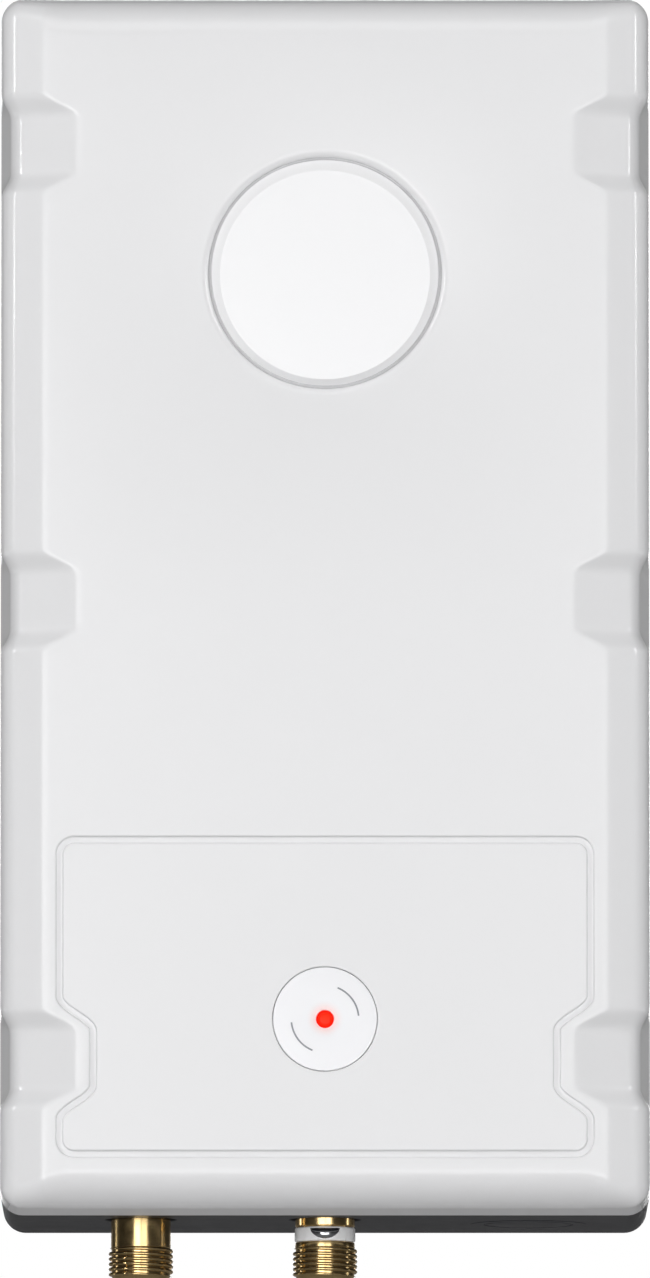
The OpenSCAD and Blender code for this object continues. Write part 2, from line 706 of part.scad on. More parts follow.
// Turned stub: spigot, flange, neck, thread and the tapered mouth of the tube socket
module stub(x, neck_cut) {
    mouth = 0.8;
    chamfer = 0.7;
    translate([x, -stub_y, 0]) difference() {
        rotate_extrude() polygon(concat(
            [[0, stub_top], [spigot_r - chamfer, stub_top], [spigot_r, stub_top - chamfer],
                [spigot_r, gland_z + gland_h], [gland_r, gland_z + gland_h], [gland_r, gland_z],
                [spigot_r, gland_z], [spigot_r, sock_z], [stub_flange_r, sock_z],
                [stub_flange_r, retainer_z], [neck_r, retainer_z]],
            neck_cut ? [[neck_r, collar_top], [collar_seat, collar_top],
                [collar_seat, collar_top - collar_h], [neck_r, collar_top - collar_h]] : [],
            [[neck_r, thread_z], [thread_r, thread_z], [thread_r, stub_end + chamfer],
                [thread_r - chamfer, stub_end], [0, stub_end]]));
        rod_z(water_r, stub_end - past, stub_top + past);
        rod_z(tube_r, stub_end - past, stub_end + tube_depth + mouth);
        translate([0, 0, stub_end - core_gap])
            cylinder(r1 = tube_r + mouth + core_gap, r2 = tube_r, h = mouth + core_gap);
    }
}

module inlet_stub() color("goldenrod") stub(inlet_x, true);
module outlet_stub() color("goldenrod") stub(outlet_x, false);

collar_fit = 0.1;
clip_w = 6.2;
clip_h = 2.2;
clip_bow = (clip_w * clip_w / 4 + clip_h * clip_h) / (2 * clip_h);

module inlet_collar() color("white") translate([inlet_x, -stub_y, collar_top - collar_h]) difference() {
    rod_z(neck_r, collar_fit, collar_h - collar_fit);
    rod_z(collar_seat + collar_fit, 0, collar_h);
    box([-clip_w / 2 - collar_fit, -neck_r - past, (collar_h - clip_h) / 2 - collar_fit],
        [clip_w / 2 + collar_fit, -collar_seat * 0.5, (collar_h + clip_h) / 2 + collar_fit]);
}

// Polished lens-shaped clip in the collar's front window
module inlet_clip() color("lightsteelblue") translate([inlet_x, -stub_y, collar_top - collar_h / 2])
    difference() {
        intersection() {
            translate([0, -neck_r + clip_w, 0]) sphere(r = clip_w + 0.2);
            along_y(-neck_r - past, 0) intersection() {
                translate([0, clip_bow - clip_h / 2]) circle(clip_bow);
                square([clip_w, clip_h], center = true);
            }
        }
        rod_z(collar_seat + collar_fit, -collar_h, collar_h);
    }

module stub_o_rings() color("black") for (x = stub_xs)
    translate([x, -stub_y, gland_z + gland_h / 2]) rotate_extrude()
        translate([gland_r + ring_r + 0.05, 0]) circle(ring_r, $fn = 24);

module stub_retainer() color("silver") along_z(retainer_z - retainer_t, retainer_z) difference() {
    translate([0, -stub_y]) link_outline(outlet_x, inlet_x, sock_out + past);
    for (x = stub_xs) translate([x, -stub_y]) circle(thread_r + 0.3);
    for (y = [-1, 1]) translate([mid_x, -stub_y + y * retainer_bolt]) circle(screw_r + screw_free);
}

module retainer_screws() color("silver") for (y = [-1, 1])
    translate([mid_x, -stub_y + y * retainer_bolt, retainer_z - retainer_t]) mirror([0, 0, 1]) pan_screw(10);

filter_t = 2.5;
insert_r = sock_r - 0.15;

module inlet_filter() color("lightgray") translate([inlet_x, -stub_y, stub_top]) difference() {
    rod_z(insert_r, 0, filter_t);
    rod_z(insert_r - past, 0.6, filter_t + past);
    for (a = [0 : 60 : 300]) rotate([0, 0, a]) translate([3.2, 0, 0]) rod_z(1.2, -past, filter_t);
    rod_z(1.2, -past, filter_t);
}

module flow_regulator() color("dimgray") translate([inlet_x, -stub_y, 0]) difference() {
    rod_z(insert_r, stub_top + filter_t, ledge_z);
    rod_z(1.6, stub_top, ledge_z + past);
    rod_z(3.4, ledge_z - 1.2, ledge_z + past);
}

magnet_r = 3.5;
magnet_h = 6;

module piston_shuttle() color("ivory") translate([inlet_x, -stub_y, seat_z]) difference() {
    rod_z(shuttle_bore - shuttle_gap, 0, shuttle_len);
    rod_z(magnet_r + collar_fit, shuttle_len - magnet_h, shuttle_len + past);
    for (a = [0 : 90 : 270]) rotate([0, 0, a])
        translate([shuttle_bore - shuttle_gap, 0, 0]) rod_z(1.5, -past, shuttle_len + past);
}

module piston_magnet() color("gray") translate([inlet_x, -stub_y, seat_z])
    rod_z(magnet_r, shuttle_len - magnet_h, shuttle_len - 0.2);

sensor_size = [5.8, 8, 16];

module flow_sensor() color("black") translate([sensor_x, -stub_y, sensor_z]) {
    along_z(-sensor_size[2] / 2, sensor_size[2] / 2) translate([sensor_size[0] / 2, 0])
        rounded_rect(sensor_size[0], sensor_size[1], 1.2);
}

board_edge_r = 2;

module control_board() color("darkgreen") along_y(board_front, board_back) difference() {
    translate([board_x, board_z]) rounded_rect(board_w, board_h, board_edge_r);
    for (x = stub_xs, z = [board_low, board_high]) translate([x, z]) circle(screw_r + screw_free / 2);
}

module board_screws() color("silver") for (x = stub_xs, z = [board_low, board_high])
    front_screw(x, board_front, z, board_t + board_gap - past);

// Boxed component on the front of the board, with rounded corners
module board_box(at, size) along_y(board_front - size[2], board_front)
    translate([board_x + at[0], board_z + at[1]]) rounded_rect(size[0], size[1], 0.8);

relay_at = [-19, 6];
relay_size = [20, 16, 6.5];
film_at = [-24, -10];
film_size = [13, 6, 6];
film_pitch = 8;
can_at = [3, 18];
can_r = 3;
can_h = 12;
connector_at = [board_w / 2 - 10, 14];
connector_size = [9, 6, 6.5];
chip_at = [5, 2];
chip_size = [9, 9, 1.4];

module board_relay() color("royalblue") board_box(relay_at, relay_size);

// Two film capacitors and a can lying on the board
module board_capacitors() color("goldenrod") {
    board_box(film_at, film_size);
    board_box([film_at[0], film_at[1] - film_pitch], film_size);
    translate([board_x + can_at[0], board_front - can_r - screw_fit, board_z + can_at[1]])
        rod_z(can_r, -can_h / 2, can_h / 2);
}

module board_connector() color("ivory") board_box(connector_at, connector_size);

module board_chip() color("black") board_box(chip_at, chip_size);

module indicator_led() color("red") translate([inlet_x, board_front, lens_z]) rotate([90, 0, 0])
    rotate_extrude() polygon(concat([[0, 0], [led_r + 0.3, 0], [led_r + 0.3, 0.8], [led_r - 0.2, 0.8]],
        [for (i = [0 : 6]) let (a = 15 * i)
            [(led_r - 0.2) * cos(a), led_top - led_r + 0.2 + (led_r - 0.2) * sin(a)]]));

switch_bolt = 11;
switch_size = [4.5, 10, 15];
leg_pitch = 3.4;
leg_drop = 9;
leg_w = 1.2;
leg_t = 0.8;
leg_in = 2;
switch_tab_t = 1.3;
switch_tab_h = 4;

// Power switch with its mounting tab and three legs
module power_switch() color("black") translate([plate_x, -stub_y, switch_z]) difference() {
    union() {
        along_x(0, switch_size[0]) rounded_rect(switch_size[1], switch_size[2], 0.8);
        box([0, -switch_size[1] / 2, switch_size[2] / 2 - past],
            [switch_tab_t, switch_size[1] / 2, switch_bolt + switch_tab_h]);
        for (y = [-leg_pitch, 0, leg_pitch])
            box([leg_in, y - leg_w / 2, -switch_size[2] / 2 - leg_drop],
                [leg_in + leg_t, y + leg_w / 2, -switch_size[2] / 2 + past]);
    }
    translate([-past, 0, switch_bolt]) rotate([0, 90, 0])
        cylinder(r = screw_r + screw_free / 2, h = switch_tab_t + 2 * past);
}

plate_half = [12, 22];
tab_y = 8;
tab_z = 16;
tab_reach = 6;
tab_w = 4;
tab_t = 0.8;

module cooling_plate() color("gainsboro") translate([0, -stub_y, switch_z]) difference() {
    union() {
        box([pad_x, -plate_half[0], -plate_half[1]], [plate_x, plate_half[0], plate_half[1]]);
        box([plate_x - past, tab_y - tab_w / 2, tab_z - tab_t / 2],
            [plate_x + tab_reach, tab_y + tab_w / 2, tab_z + tab_t / 2]);
    }
    translate([pad_x - past, 0, switch_bolt]) rotate([0, 90, 0])
        cylinder(r = screw_r + screw_free / 2, h = plate_t + 2 * past);
}

module switch_screw() color("silver") translate([plate_x + switch_tab_t, -stub_y, switch_z + switch_bolt])
    rotate([0, 90, 0]) pan_screw(switch_tab_t + plate_t + pilot - past);

cutout_bolt = 12.5;
cutout_r = 8;
cutout_flange = 1;
cutout_cup = 5;
cutout_top = 7.5;
button_r = 2;
button_gap = 0.3;
button_proud = 3.7;
button_edge = 0.6;
ear_lug_r = 3;
blade_w = 6.3;
blade_t = 0.8;
blade_y = 3.4;

// Bimetal cut-out: flange with two ears, cup, cap, two blades and the hole of its button
module thermal_cutout() color("saddlebrown") translate([outlet_x, cutout_y, cutout_z]) difference() {
    union() {
        along_y(-cutout_flange, 0) difference() {
            union() {
                circle(cutout_r + cutout_flange);
                rotate(90) link_outline(-cutout_bolt, cutout_bolt, ear_lug_r);
            }
            for (z = [-1, 1]) translate([0, z * cutout_bolt]) circle(screw_r + screw_free / 2);
        }
        rod_y(cutout_r, -cutout_cup, -cutout_flange / 2);
        rod_y(cutout_r * 0.8, -cutout_top, -cutout_cup + cutout_flange / 2);
        box([-blade_reach, -blade_y - blade_t / 2, -blade_w / 2],
            [blade_reach, -blade_y + blade_t / 2, blade_w / 2]);
    }
    rod_y(button_r + button_gap, -cutout_top - past, -cutout_cup + reset_travel + button_gap);
}

module cutout_screws() color("silver") for (z = [-1, 1])
    front_screw(outlet_x, cutout_y - cutout_flange, cutout_z + z * cutout_bolt, cutout_flange + pilot - past);

module reset_button() color("crimson") translate([outlet_x, cutout_y, cutout_z]) rotate([90, 0, 0])
    rotate_extrude() polygon([[0, cutout_cup], [button_r, cutout_cup],
        [button_r, cutout_top + button_proud - button_edge],
        [button_r - button_edge, cutout_top + button_proud], [0, cutout_top + button_proud]]);

well_r = 3.6;
well_d = 6;
barrier_t = 1.4;
barrier_h = 3;
pole_screw_len = 6;

module terminal_block() color("beige") translate([term_x, -base_t, term_z]) difference() {
    union() {
        along_y(-term_d, 0) rounded_rect(term_w, term_h, 1.2);
        for (i = [-0.5, 0.5])
            box([i * pole_pitch - barrier_t / 2, -term_d - barrier_h, -term_h / 2],
                [i * pole_pitch + barrier_t / 2, -past, term_h / 2]);
    }
    for (i = [-1, 0, 1]) translate([i * pole_pitch, 0, 0]) {
        rod_y(well_r, -term_d - past, -term_d + well_d);
        rod_y(screw_r + screw_fit, -term_d, -term_d + well_d + pole_screw_len + screw_fit);
        translate([0, -term_d / 2, 0]) rod_z(lead_r + past, -term_h / 2 - past, -2);
    }
}

module pole_screw(i) front_screw(term_x + i * pole_pitch, -base_t - term_d + well_d, term_z, pole_screw_len);
module terminal_screws() color("silver") for (i = [-1, 0]) pole_screw(i);
module ground_screw() color("green") pole_screw(1);

bar_t = 3;
bar_h = 8;
arch_r = 6;
clamp_y = -base_t - clamp_post;

// Saddle bar across the two clamp posts, arched over the cable
module cable_clamp() color("dimgray") along_z(clamp_z - bar_h / 2, clamp_z + bar_h / 2)
    translate([cable_x, clamp_y]) difference() {
        union() {
            translate([-clamp_reach - ear_r, -bar_t]) square([2 * (clamp_reach + ear_r), bar_t]);
            intersection() {
                circle(arch_r + bar_t);
                translate([-body_w, -body_w]) square([2 * body_w, body_w]);
            }
        }
        circle(arch_r);
    }

module clamp_bar() color("dimgray") difference() {
    cable_clamp();
    for (x = [-1, 1]) translate([cable_x + x * clamp_reach, 0, clamp_z])
        rod_y(screw_r + screw_free / 2, clamp_y - bar_t - past, clamp_y + past);
}

module clamp_screws() color("silver") for (x = [-1, 1])
    front_screw(cable_x + x * clamp_reach, clamp_y - bar_t, clamp_z, bar_t + 8);

lug_t = 1;
lug_reach = 9;
lug_w = 3.6;
barrel_len = 4.5;
barrel_z = lug_z + lug_t / 2 + lead_r + 0.3;

// Ring lugs on the front terminals, one facing left and one right
module wire_lugs() color("silver") for (s = [[outlet_x, -1], [inlet_x, 1]])
    translate([s[0], terminal_ys[0], 0]) {
        along_z(lug_z, lug_z + lug_t) difference() {
            union() {
                circle(nut_r + 0.3);
                translate([min(0, s[1] * lug_reach), -lug_w / 2]) square([lug_reach, lug_w]);
            }
            circle(terminal_r + screw_fit);
        }
        translate([s[1] * (lug_reach - barrel_len), 0, barrel_z]) rotate([0, s[1] * 90, 0])
            cylinder(r = lead_r + 0.4, h = barrel_len);
    }

lead_gap = 0.3;
block_top = term_z + term_h / 2 + lead_gap;
block_y = -base_t - term_d / 2;
leg_z = switch_z - switch_size[2] / 2 - leg_drop - lead_gap;
leg_x = plate_x + leg_in + leg_t / 2;
blade_mid = cutout_y - blade_y;

// Routes of the leads, each from one connection to the next
lane_x = pad_x + 12.5;
line_route = [[term_x - pole_pitch, block_y, block_top],
    [term_x - 10, block_y - 2, block_top + 9.7],
    [term_x - 6, -stub_y + 17, switch_z - 10],
    [term_x - 5, -stub_y + 6, switch_z + 15],
    [term_x - 9, -stub_y - 10, cutout_z - 10],
    [term_x - 20, -stub_y - 20, cutout_z - 1],
    [inlet_x, -stub_y - 21.5, cutout_z + 0.5],
    [inlet_x - 13, -stub_y - 21, cutout_z],
    [outlet_x + blade_reach + lead_gap, blade_mid, cutout_z]];
load_route = [[outlet_x - blade_reach - lead_gap, blade_mid, cutout_z],
    [outlet_x - 18.8, blade_mid, cutout_z + 1.2],
    [outlet_x - 20.3, -stub_y - 21, cutout_z + 13],
    [outlet_x - 17.1, -stub_y - 22, vessel_top - 4],
    [outlet_x - 16.6, -stub_y - 17, head_top - 3],
    [outlet_x - 15.6, -stub_y - 10, head_top + 4],
    [outlet_x - lug_reach - lead_gap, terminal_ys[0], barrel_z]];
neutral_route = [[term_x, block_y, block_top],
    [term_x - 0.5, block_y - 3, block_top + 7.7],
    [term_x - 8, -stub_y + 11, leg_z - 7.2],
    [term_x - 17, -stub_y + 2, leg_z - 5.2],
    [leg_x, -stub_y, leg_z]];
switch_route = [[leg_x, -stub_y - leg_pitch, leg_z],
    [leg_x + 1.1, -stub_y - 6, leg_z - 7.2],
    [lane_x - 2, -stub_y - 8, leg_z - 5.2],
    [lane_x, -stub_y - 9, switch_z - 8],
    [lane_x, -stub_y - 10, cutout_z - 5],
    [lane_x - 1, -stub_y - 10, vessel_top + 1],
    [lane_x - 5, -stub_y - 9, head_top + 1],
    [inlet_x + 15, terminal_ys[0] - 0.2, barrel_z],
    [inlet_x + lug_reach + lead_gap, terminal_ys[0], barrel_z]];
ground_route = [[term_x + pole_pitch, block_y, block_top],
    [term_x + 11, block_y - 2, block_top + 13.7],
    [term_x + 8, block_y - 6, switch_z - 2],
    [term_x - 1, -stub_y + 13, switch_z + tab_z - 3],
    [term_x - 10, -stub_y + 9, switch_z + tab_z],
    [plate_x + tab_reach + lead_gap, -stub_y + tab_y, switch_z + tab_z]];
sensor_route = [[sensor_x + sensor_size[0] / 2, -stub_y, sensor_z + sensor_size[2] / 2 + lead_gap],
    [sensor_x + 4.2, -stub_y - 2, sensor_z + 15],
    [sensor_x + 9.2, -stub_y - 10, board_z + 13],
    [board_x + board_w / 2 + 4.5, -stub_y - 19, board_z + 14],
    [board_x + board_w / 2 + 4, board_front - 3.5, board_z + 14],
    [board_x + connector_at[0] + connector_size[0] / 2 + lead_gap, board_front - connector_size[2] / 2,
        board_z + connector_at[1]]];

module lead(route, r, shade) color(shade) tube_along(smooth_route(route, 3), r, 8);

module wire_line() lead(line_route, lead_r, "black");
module wire_load() lead(load_route, lead_r, "black");
module wire_neutral() lead(neutral_route, lead_r, "white");
module wire_switch() lead(switch_route, lead_r, "firebrick");
module wire_ground() lead(ground_route, lead_r, "green");
module wire_sensor() lead(sensor_route, sensor_lead_r, "orange");

front_cover();
badge_disc();
indicator_lens();
light_pipe();
base_tray();
cover_screws();
vessel_body();
vessel_head();
head_gasket();
head_screws();
vessel_screws();
element_core(inlet_x);  // element_core_inlet
element_core(outlet_x);  // element_core_outlet
heating_coil(inlet_x);  // heating_coil_inlet
heating_coil(outlet_x);  // heating_coil_outlet
element_terminals();
element_link();
inlet_stub();
outlet_stub();
inlet_collar();
inlet_clip();
stub_o_rings();
stub_retainer();
retainer_screws();
inlet_filter();
flow_regulator();
piston_shuttle();
piston_magnet();
flow_sensor();
control_board();
board_screws();
board_relay();
board_capacitors();
board_connector();
board_chip();
indicator_led();
power_switch();
cooling_plate();
switch_screw();
thermal_cutout();
cutout_screws();
reset_button();
terminal_block();
terminal_screws();
ground_screw();
clamp_bar();  // cable_clamp
clamp_screws();
wire_lugs();
wire_line();
wire_load();
wire_neutral();
wire_switch();
wire_ground();
wire_sensor();
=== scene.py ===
import itertools
import json
import math

import bmesh
import bpy
import numpy as np
from mathutils import Matrix, Vector


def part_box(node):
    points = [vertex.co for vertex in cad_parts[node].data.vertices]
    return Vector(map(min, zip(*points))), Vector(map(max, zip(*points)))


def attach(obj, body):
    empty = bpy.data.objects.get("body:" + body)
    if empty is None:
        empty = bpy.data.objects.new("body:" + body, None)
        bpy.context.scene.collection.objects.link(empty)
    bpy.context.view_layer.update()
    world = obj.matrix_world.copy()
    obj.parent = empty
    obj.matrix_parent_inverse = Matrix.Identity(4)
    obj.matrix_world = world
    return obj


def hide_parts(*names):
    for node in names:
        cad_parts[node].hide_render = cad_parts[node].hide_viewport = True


bl_info = {
    "name": "Point-of-use water heater",
    "version": (1, 0, 0),
    "blender": (4, 5, 0),
    "location": "3D View > Sidebar > Heater",
    "description": "Finishes a wall-mounted electric water heater on its packed frame",
    "category": "Object",
}

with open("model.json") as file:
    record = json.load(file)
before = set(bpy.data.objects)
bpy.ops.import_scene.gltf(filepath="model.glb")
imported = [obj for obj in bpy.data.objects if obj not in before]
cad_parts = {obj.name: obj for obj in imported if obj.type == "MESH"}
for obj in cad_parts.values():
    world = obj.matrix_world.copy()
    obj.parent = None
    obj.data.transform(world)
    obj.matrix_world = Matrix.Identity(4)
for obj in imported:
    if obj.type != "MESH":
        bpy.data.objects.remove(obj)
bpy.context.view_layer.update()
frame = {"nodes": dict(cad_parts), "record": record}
RECORD = frame["record"]
NODES = frame["nodes"]
MM = 0.001
FORWARD, UP = (0, -1, 0), (0, 0, 1)
SLOT_OF = {part["node"]: part["material_slot"] for part in RECORD["subparts"]}
COLOUR_OF = {entry["slot"]: tuple(entry["base_color"]) for entry in RECORD["materials"]}
COVER_LOW, COVER_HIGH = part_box("front_cover")
BADGE_LOW, BADGE_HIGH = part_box("badge_disc")
LENS_LOW, LENS_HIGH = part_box("indicator_lens")
PIPE_LOW, PIPE_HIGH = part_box("light_pipe")
BADGE_Z = (BADGE_LOW.z + BADGE_HIGH.z) / 2
LENS_Z = (LENS_LOW.z + LENS_HIGH.z) / 2
PIPE_Z = (PIPE_LOW.z + PIPE_HIGH.z) / 2


# Settings a user may change


def length(name, description, default):
    return bpy.props.FloatProperty(
        name=name, description=description, default=default, unit="LENGTH", precision=5, soft_min=0.0
    )


def angle(name, description, degrees):
    return bpy.props.FloatProperty(
        name=name, description=description, default=math.radians(degrees), subtype="ANGLE"
    )


def colour(name, description, default):
    return bpy.props.FloatVectorProperty(
        name=name, description=description, default=default, subtype="COLOR", size=3, min=0.0, max=1.0
    )


class HeaterCover(bpy.types.PropertyGroup):
    """Sizes of the moulded cover"""

    half_w: length("Half width", "Half the cover's width", COVER_HIGH.x)
    half_h: length("Half height", "Half the cover's height", COVER_HIGH.z)
    depth: length("Depth", "Front face to rear rim", COVER_HIGH.y - COVER_LOW.y)
    wall: length("Wall", "Thickness of the front wall", 0.0026)
    flat_w: length("Flat half width", "Half the width of the flat face", 0.0578)
    tilt: angle("Side slope", "How far the side slopes lean back", 20.0)
    cap: length("Cap depth", "How far back the shaped cap reaches", 0.021)
    side_draft: length("Side draft", "Draw-in of the sides over the cap", 0.0003)
    crown_draft: length("Crown draft", "Draw-in of top and bottom over the cap", 0.0006)
    edge_r: length("Side edge", "Rounding between slope and side", 0.0032)
    bay_edge_r: length("Bay edge", "Rounding between a bay's floor and its side", 0.0023)
    crown_r: length("Crown", "Rounding between face and top", 0.008)
    corner_r: length("Corner", "Rounding of the four long corners", 0.0047)
    bay_pitch: length("Bay pitch", "From the middle bay to the next", 0.0942)
    bay_floor: length("Bay floor", "Height of a bay's floor", 0.011)
    bay_run: length("Bay slope", "Height of a bay's sloping ends", 0.0051)
    bay_in: length("Bay reach", "How far a bay cuts into the face", 0.0069)
    bay_step: length("Bay dent", "How far a bay dents the side", 0.0021)
    shelf: length("Shelf", "Height cut off behind the lower lip", 0.0073)


class HeaterGroove(bpy.types.PropertyGroup):
    """Sizes of the groove round the lower panel"""

    half_w: length("Half width", "Half the panel's width at the groove's middle", 0.05435)
    top: length("Top", "How far the panel's top is below centre", 0.04935)
    low: length("Bottom", "How far the panel's bottom is below centre", 0.11385)
    corner: length("Corner", "Rounding of the panel's corners", 0.0030)
    run: length("Run", "Height over which the groove steps in at a bay", 0.0072)
    width: length("Width", "Width of the groove", 0.0015)
    depth: length("Depth", "Depth of the groove", 0.0007)


class HeaterBrass(bpy.types.PropertyGroup):
    """Sizes of the two brass stubs"""

    pitch: length("Pitch", "Rise of the thread in one turn", 0.001058)
    ridge: length("Ridge", "Radius of the thread's rounded ridge", 0.00040)
    root: length("Root", "Radius at the thread's root", 0.00605)
    neck: length("Neck", "Radius of the plain neck above the thread", 0.00615)


class HeaterColours(bpy.types.PropertyGroup):
    """Colours of the pieces that show"""

    cover: colour("Cover", "White of the moulded cover", (0.80, 0.80, 0.81))
    badge: colour("Badge", "White of the round badge", (0.92, 0.92, 0.93))
    lens: colour("Indicator", "White of the indicator disc", (0.89, 0.89, 0.91))
    light: colour("Light", "Colour of the lit dot", (1.0, 0.018, 0.003))
    base: colour("Base", "Charcoal of the base", (0.018, 0.018, 0.027))
    brass: colour("Brass", "Colour of the water stubs", (0.76, 0.55, 0.26))
    collar: colour("Collar", "White of the inlet collar", (0.95, 0.95, 0.95))
    print: colour("Print", "Grey of the marks on the indicator", (0.10, 0.11, 0.14))


class HeaterStage(bpy.types.PropertyGroup):
    """Camera and floor"""

    distance: length("Distance", "Camera to the front face", 5.0)
    rise: angle("Rise", "How far the camera looks up", 5.4)
    frame_h: length("Frame height", "Height that the picture shows at the front face", 0.2619)
    centre_z: length("Centre", "Height of the picture's middle at the front face", -0.0081)
    floor_z: length("Floor", "Height of the floor", -0.6)


# Node graphs


class Signal:
    """A node's output that takes part in Python sums."""

    def __init__(self, graph, socket):
        self.graph = graph
        self.socket = socket

    def math(self, operation, first, second=0.0):
        return self.graph.node("ShaderNodeMath", {"operation": operation}, {0: first, 1: second})

    def __add__(self, other):
        return self.math("ADD", self, other)

    __radd__ = __add__

    def __mul__(self, other):
        return self.math("MULTIPLY", self, other)

    __rmul__ = __mul__

    def __sub__(self, other):
        return self.math("SUBTRACT", self, other)

    def __rsub__(self, other):
        return self.math("SUBTRACT", other, self)

    def __truediv__(self, other):
        return self.math("DIVIDE", self, other)

    def __rtruediv__(self, other):
        return self.math("DIVIDE", other, self)

    def __pow__(self, other):
        return self.math("POWER", self, other)

    def __rpow__(self, other):
        return self.math("POWER", other, self)

    def __abs__(self):
        return self.math("ABSOLUTE", self)

    def fraction(self):
        return self.math("FRACT", self)

    def least(self, other):
        return self.math("MINIMUM", self, other)

    def most(self, other):
        return self.math("MAXIMUM", self, other)

    def ramp(self, low, high):
        """Smooth step from 0 at low to 1 at high."""
        settings = {"interpolation_type": "SMOOTHSTEP"}
        return self.graph.node("ShaderNodeMapRange", settings, {"Value": self, 1: low, 2: high})


class Graph:
    """Adds nodes to a shader or geometry tree."""

    def __init__(self, tree):
        self.tree = tree

    def node(self, kind, settings=None, sockets=None, out=0):
        """One node: its settings come first, then the values or links of its sockets."""
        node = self.tree.nodes.new(kind)
        for key, value in (settings or {}).items():
            if key == "stops":
                ramp = node.color_ramp
                while len(ramp.elements) < len(value):
                    ramp.elements.new(1.0)
                for element, (place, tint) in zip(ramp.elements, value):
                    element.position, element.color = place, tint
            else:
                setattr(node, key, value)
        for key, value in (sockets or {}).items():
            socket = node.inputs[key]
            for item in value if isinstance(value, list) else [value]:
                if isinstance(item, Signal):
                    self.tree.links.new(item.socket, socket)
                else:
                    socket.default_value = item
        return Signal(self, node.outputs[out]) if len(node.outputs) else None

    def place(self):
        return self.node("ShaderNodeTexCoord", out="Object")

    def turned(self, vector, scale=(1, 1, 1), shift=(0, 0, 0), turn=(0, 0, 0)):
        return self.node(
            "ShaderNodeMapping",
            None,
            {"Vector": vector, "Location": shift, "Rotation": turn, "Scale": scale},
        )

    def noise(self, vector, scale, detail=2.0, rough=0.5, warp=0.0):
        return self.node(
            "ShaderNodeTexNoise",
            None,
            {"Vector": vector, "Scale": scale, "Detail": detail, "Roughness": rough, "Distortion": warp},
        )

    def axes(self, vector):
        node = self.node("ShaderNodeSeparateXYZ", None, {0: vector}).socket.node
        return [Signal(self, output) for output in node.outputs]

    def blend(self, amount, first, second):
        """Mix of two colours."""
        sockets = {0: amount, 6: opaque(first), 7: opaque(second)}
        return self.node("ShaderNodeMix", {"data_type": "RGBA"}, sockets, 2)

    def bump(self, height, depth, strength):
        return self.node("ShaderNodeBump", None, {"Strength": strength, "Distance": depth, "Height": height})


def ray(graph, kind):
    """1 for one kind of light ray and 0 for the others."""
    return graph.node("ShaderNodeLightPath", out=kind)


def opaque(tint):
    return tint if isinstance(tint, Signal) else (*tint[:3], 1.0)


def shade(tint, factor):
    """A colour made darker or lighter."""
    return tuple(min(1.0, channel * factor) for channel in tint)


def new_finish(name):
    material = bpy.data.materials.new(name)
    material.use_nodes = True
    material.node_tree.nodes.clear()
    return material, Graph(material.node_tree)


def close_finish(graph, sockets):
    """Ends a finish with its surface shader."""
    surface = graph.node("ShaderNodeBsdfPrincipled", None, sockets)
    graph.node("ShaderNodeOutputMaterial", None, {"Surface": surface})


# Finishes


def moulded(name, tint, rough, grain, depth, mottle, uneven, dull_z=None):
    """Moulded plastic: fine grain, faint flow clouds and an uneven sheen, duller below a height."""
    material, g = new_finish(name)
    place = g.place()
    cloud = g.noise(place, 34.0, 3.0, 0.55, 0.4)
    grains = g.noise(place, grain, 2.0, 0.6)
    rub = g.noise(g.turned(place, (1.0, 1.0, 0.35)), 240.0, 3.0, 0.6)
    body = g.blend(cloud, shade(tint, 1.0 - mottle), shade(tint, 1.0 + mottle))
    sheen = rough + (cloud - 0.5) * uneven + (rub - 0.5) * uneven
    if dull_z is not None:
        fade, duller = 0.0012, 0.4
        sheen = sheen + (1.0 - g.axes(place)[2].ramp(dull_z, dull_z + fade)) * duller
    close_finish(g, {
        "Base Color": g.blend(grains.ramp(0.35, 0.7), body, shade(tint, 1.0 - 0.6 * mottle)),
        "Roughness": sheen,
        "Normal": g.bump(grains, depth, 0.35),
    })
    return material


def soft_rubber(name, tint):
    """Matt rubber with pale dust on it."""
    material, g = new_finish(name)
    place = g.place()
    dust = g.noise(place, 420.0, 4.0, 0.65)
    close_finish(g, {
        "Base Color": g.blend(dust.ramp(0.55, 0.85), tint, shade(tint, 2.4)),
        "Roughness": 0.62 + dust * 0.2,
        "Normal": g.bump(g.noise(place, 3000.0), 0.00002, 0.3),
    })
    return material


def metal(name, tint, rough, lay, lines, wear, stain, depth):
    """Worked metal: fine tool lines along one lay, uneven sheen and a little tarnish."""
    material, g = new_finish(name)
    place = g.place()
    tool = g.noise(g.turned(place, lay), lines, 2.0, 0.6)
    cloud = g.noise(place, 160.0, 3.0, 0.6, 0.6)
    dull = cloud.ramp(0.5, 0.85)
    body = g.blend(tool, shade(tint, 0.94), shade(tint, 1.04))
    close_finish(g, {
        "Base Color": g.blend(dull * stain, body, shade(tint, 0.62)),
        "Metallic": 1.0,
        "Roughness": rough + (tool - 0.5) * wear + dull * 0.12,
        "Normal": g.bump(tool, depth, 0.5),
    })
    return material


def glazed_ceramic(name, tint):
    """Pale ceramic with darker specks."""
    material, g = new_finish(name)
    place = g.place()
    speck = g.node("ShaderNodeTexVoronoi", None, {"Vector": place, "Scale": 900.0})
    cloud = g.noise(place, 120.0, 3.0)
    body = g.blend(cloud, shade(tint, 0.93), tint)
    close_finish(g, {
        "Base Color": g.blend(speck.ramp(0.0, 0.25), shade(tint, 0.7), body),
        "Roughness": 0.5 + (cloud - 0.5) * 0.2,
        "Normal": g.bump(g.noise(place, 2200.0, 3.0), 0.00003, 0.4),
    })
    return material


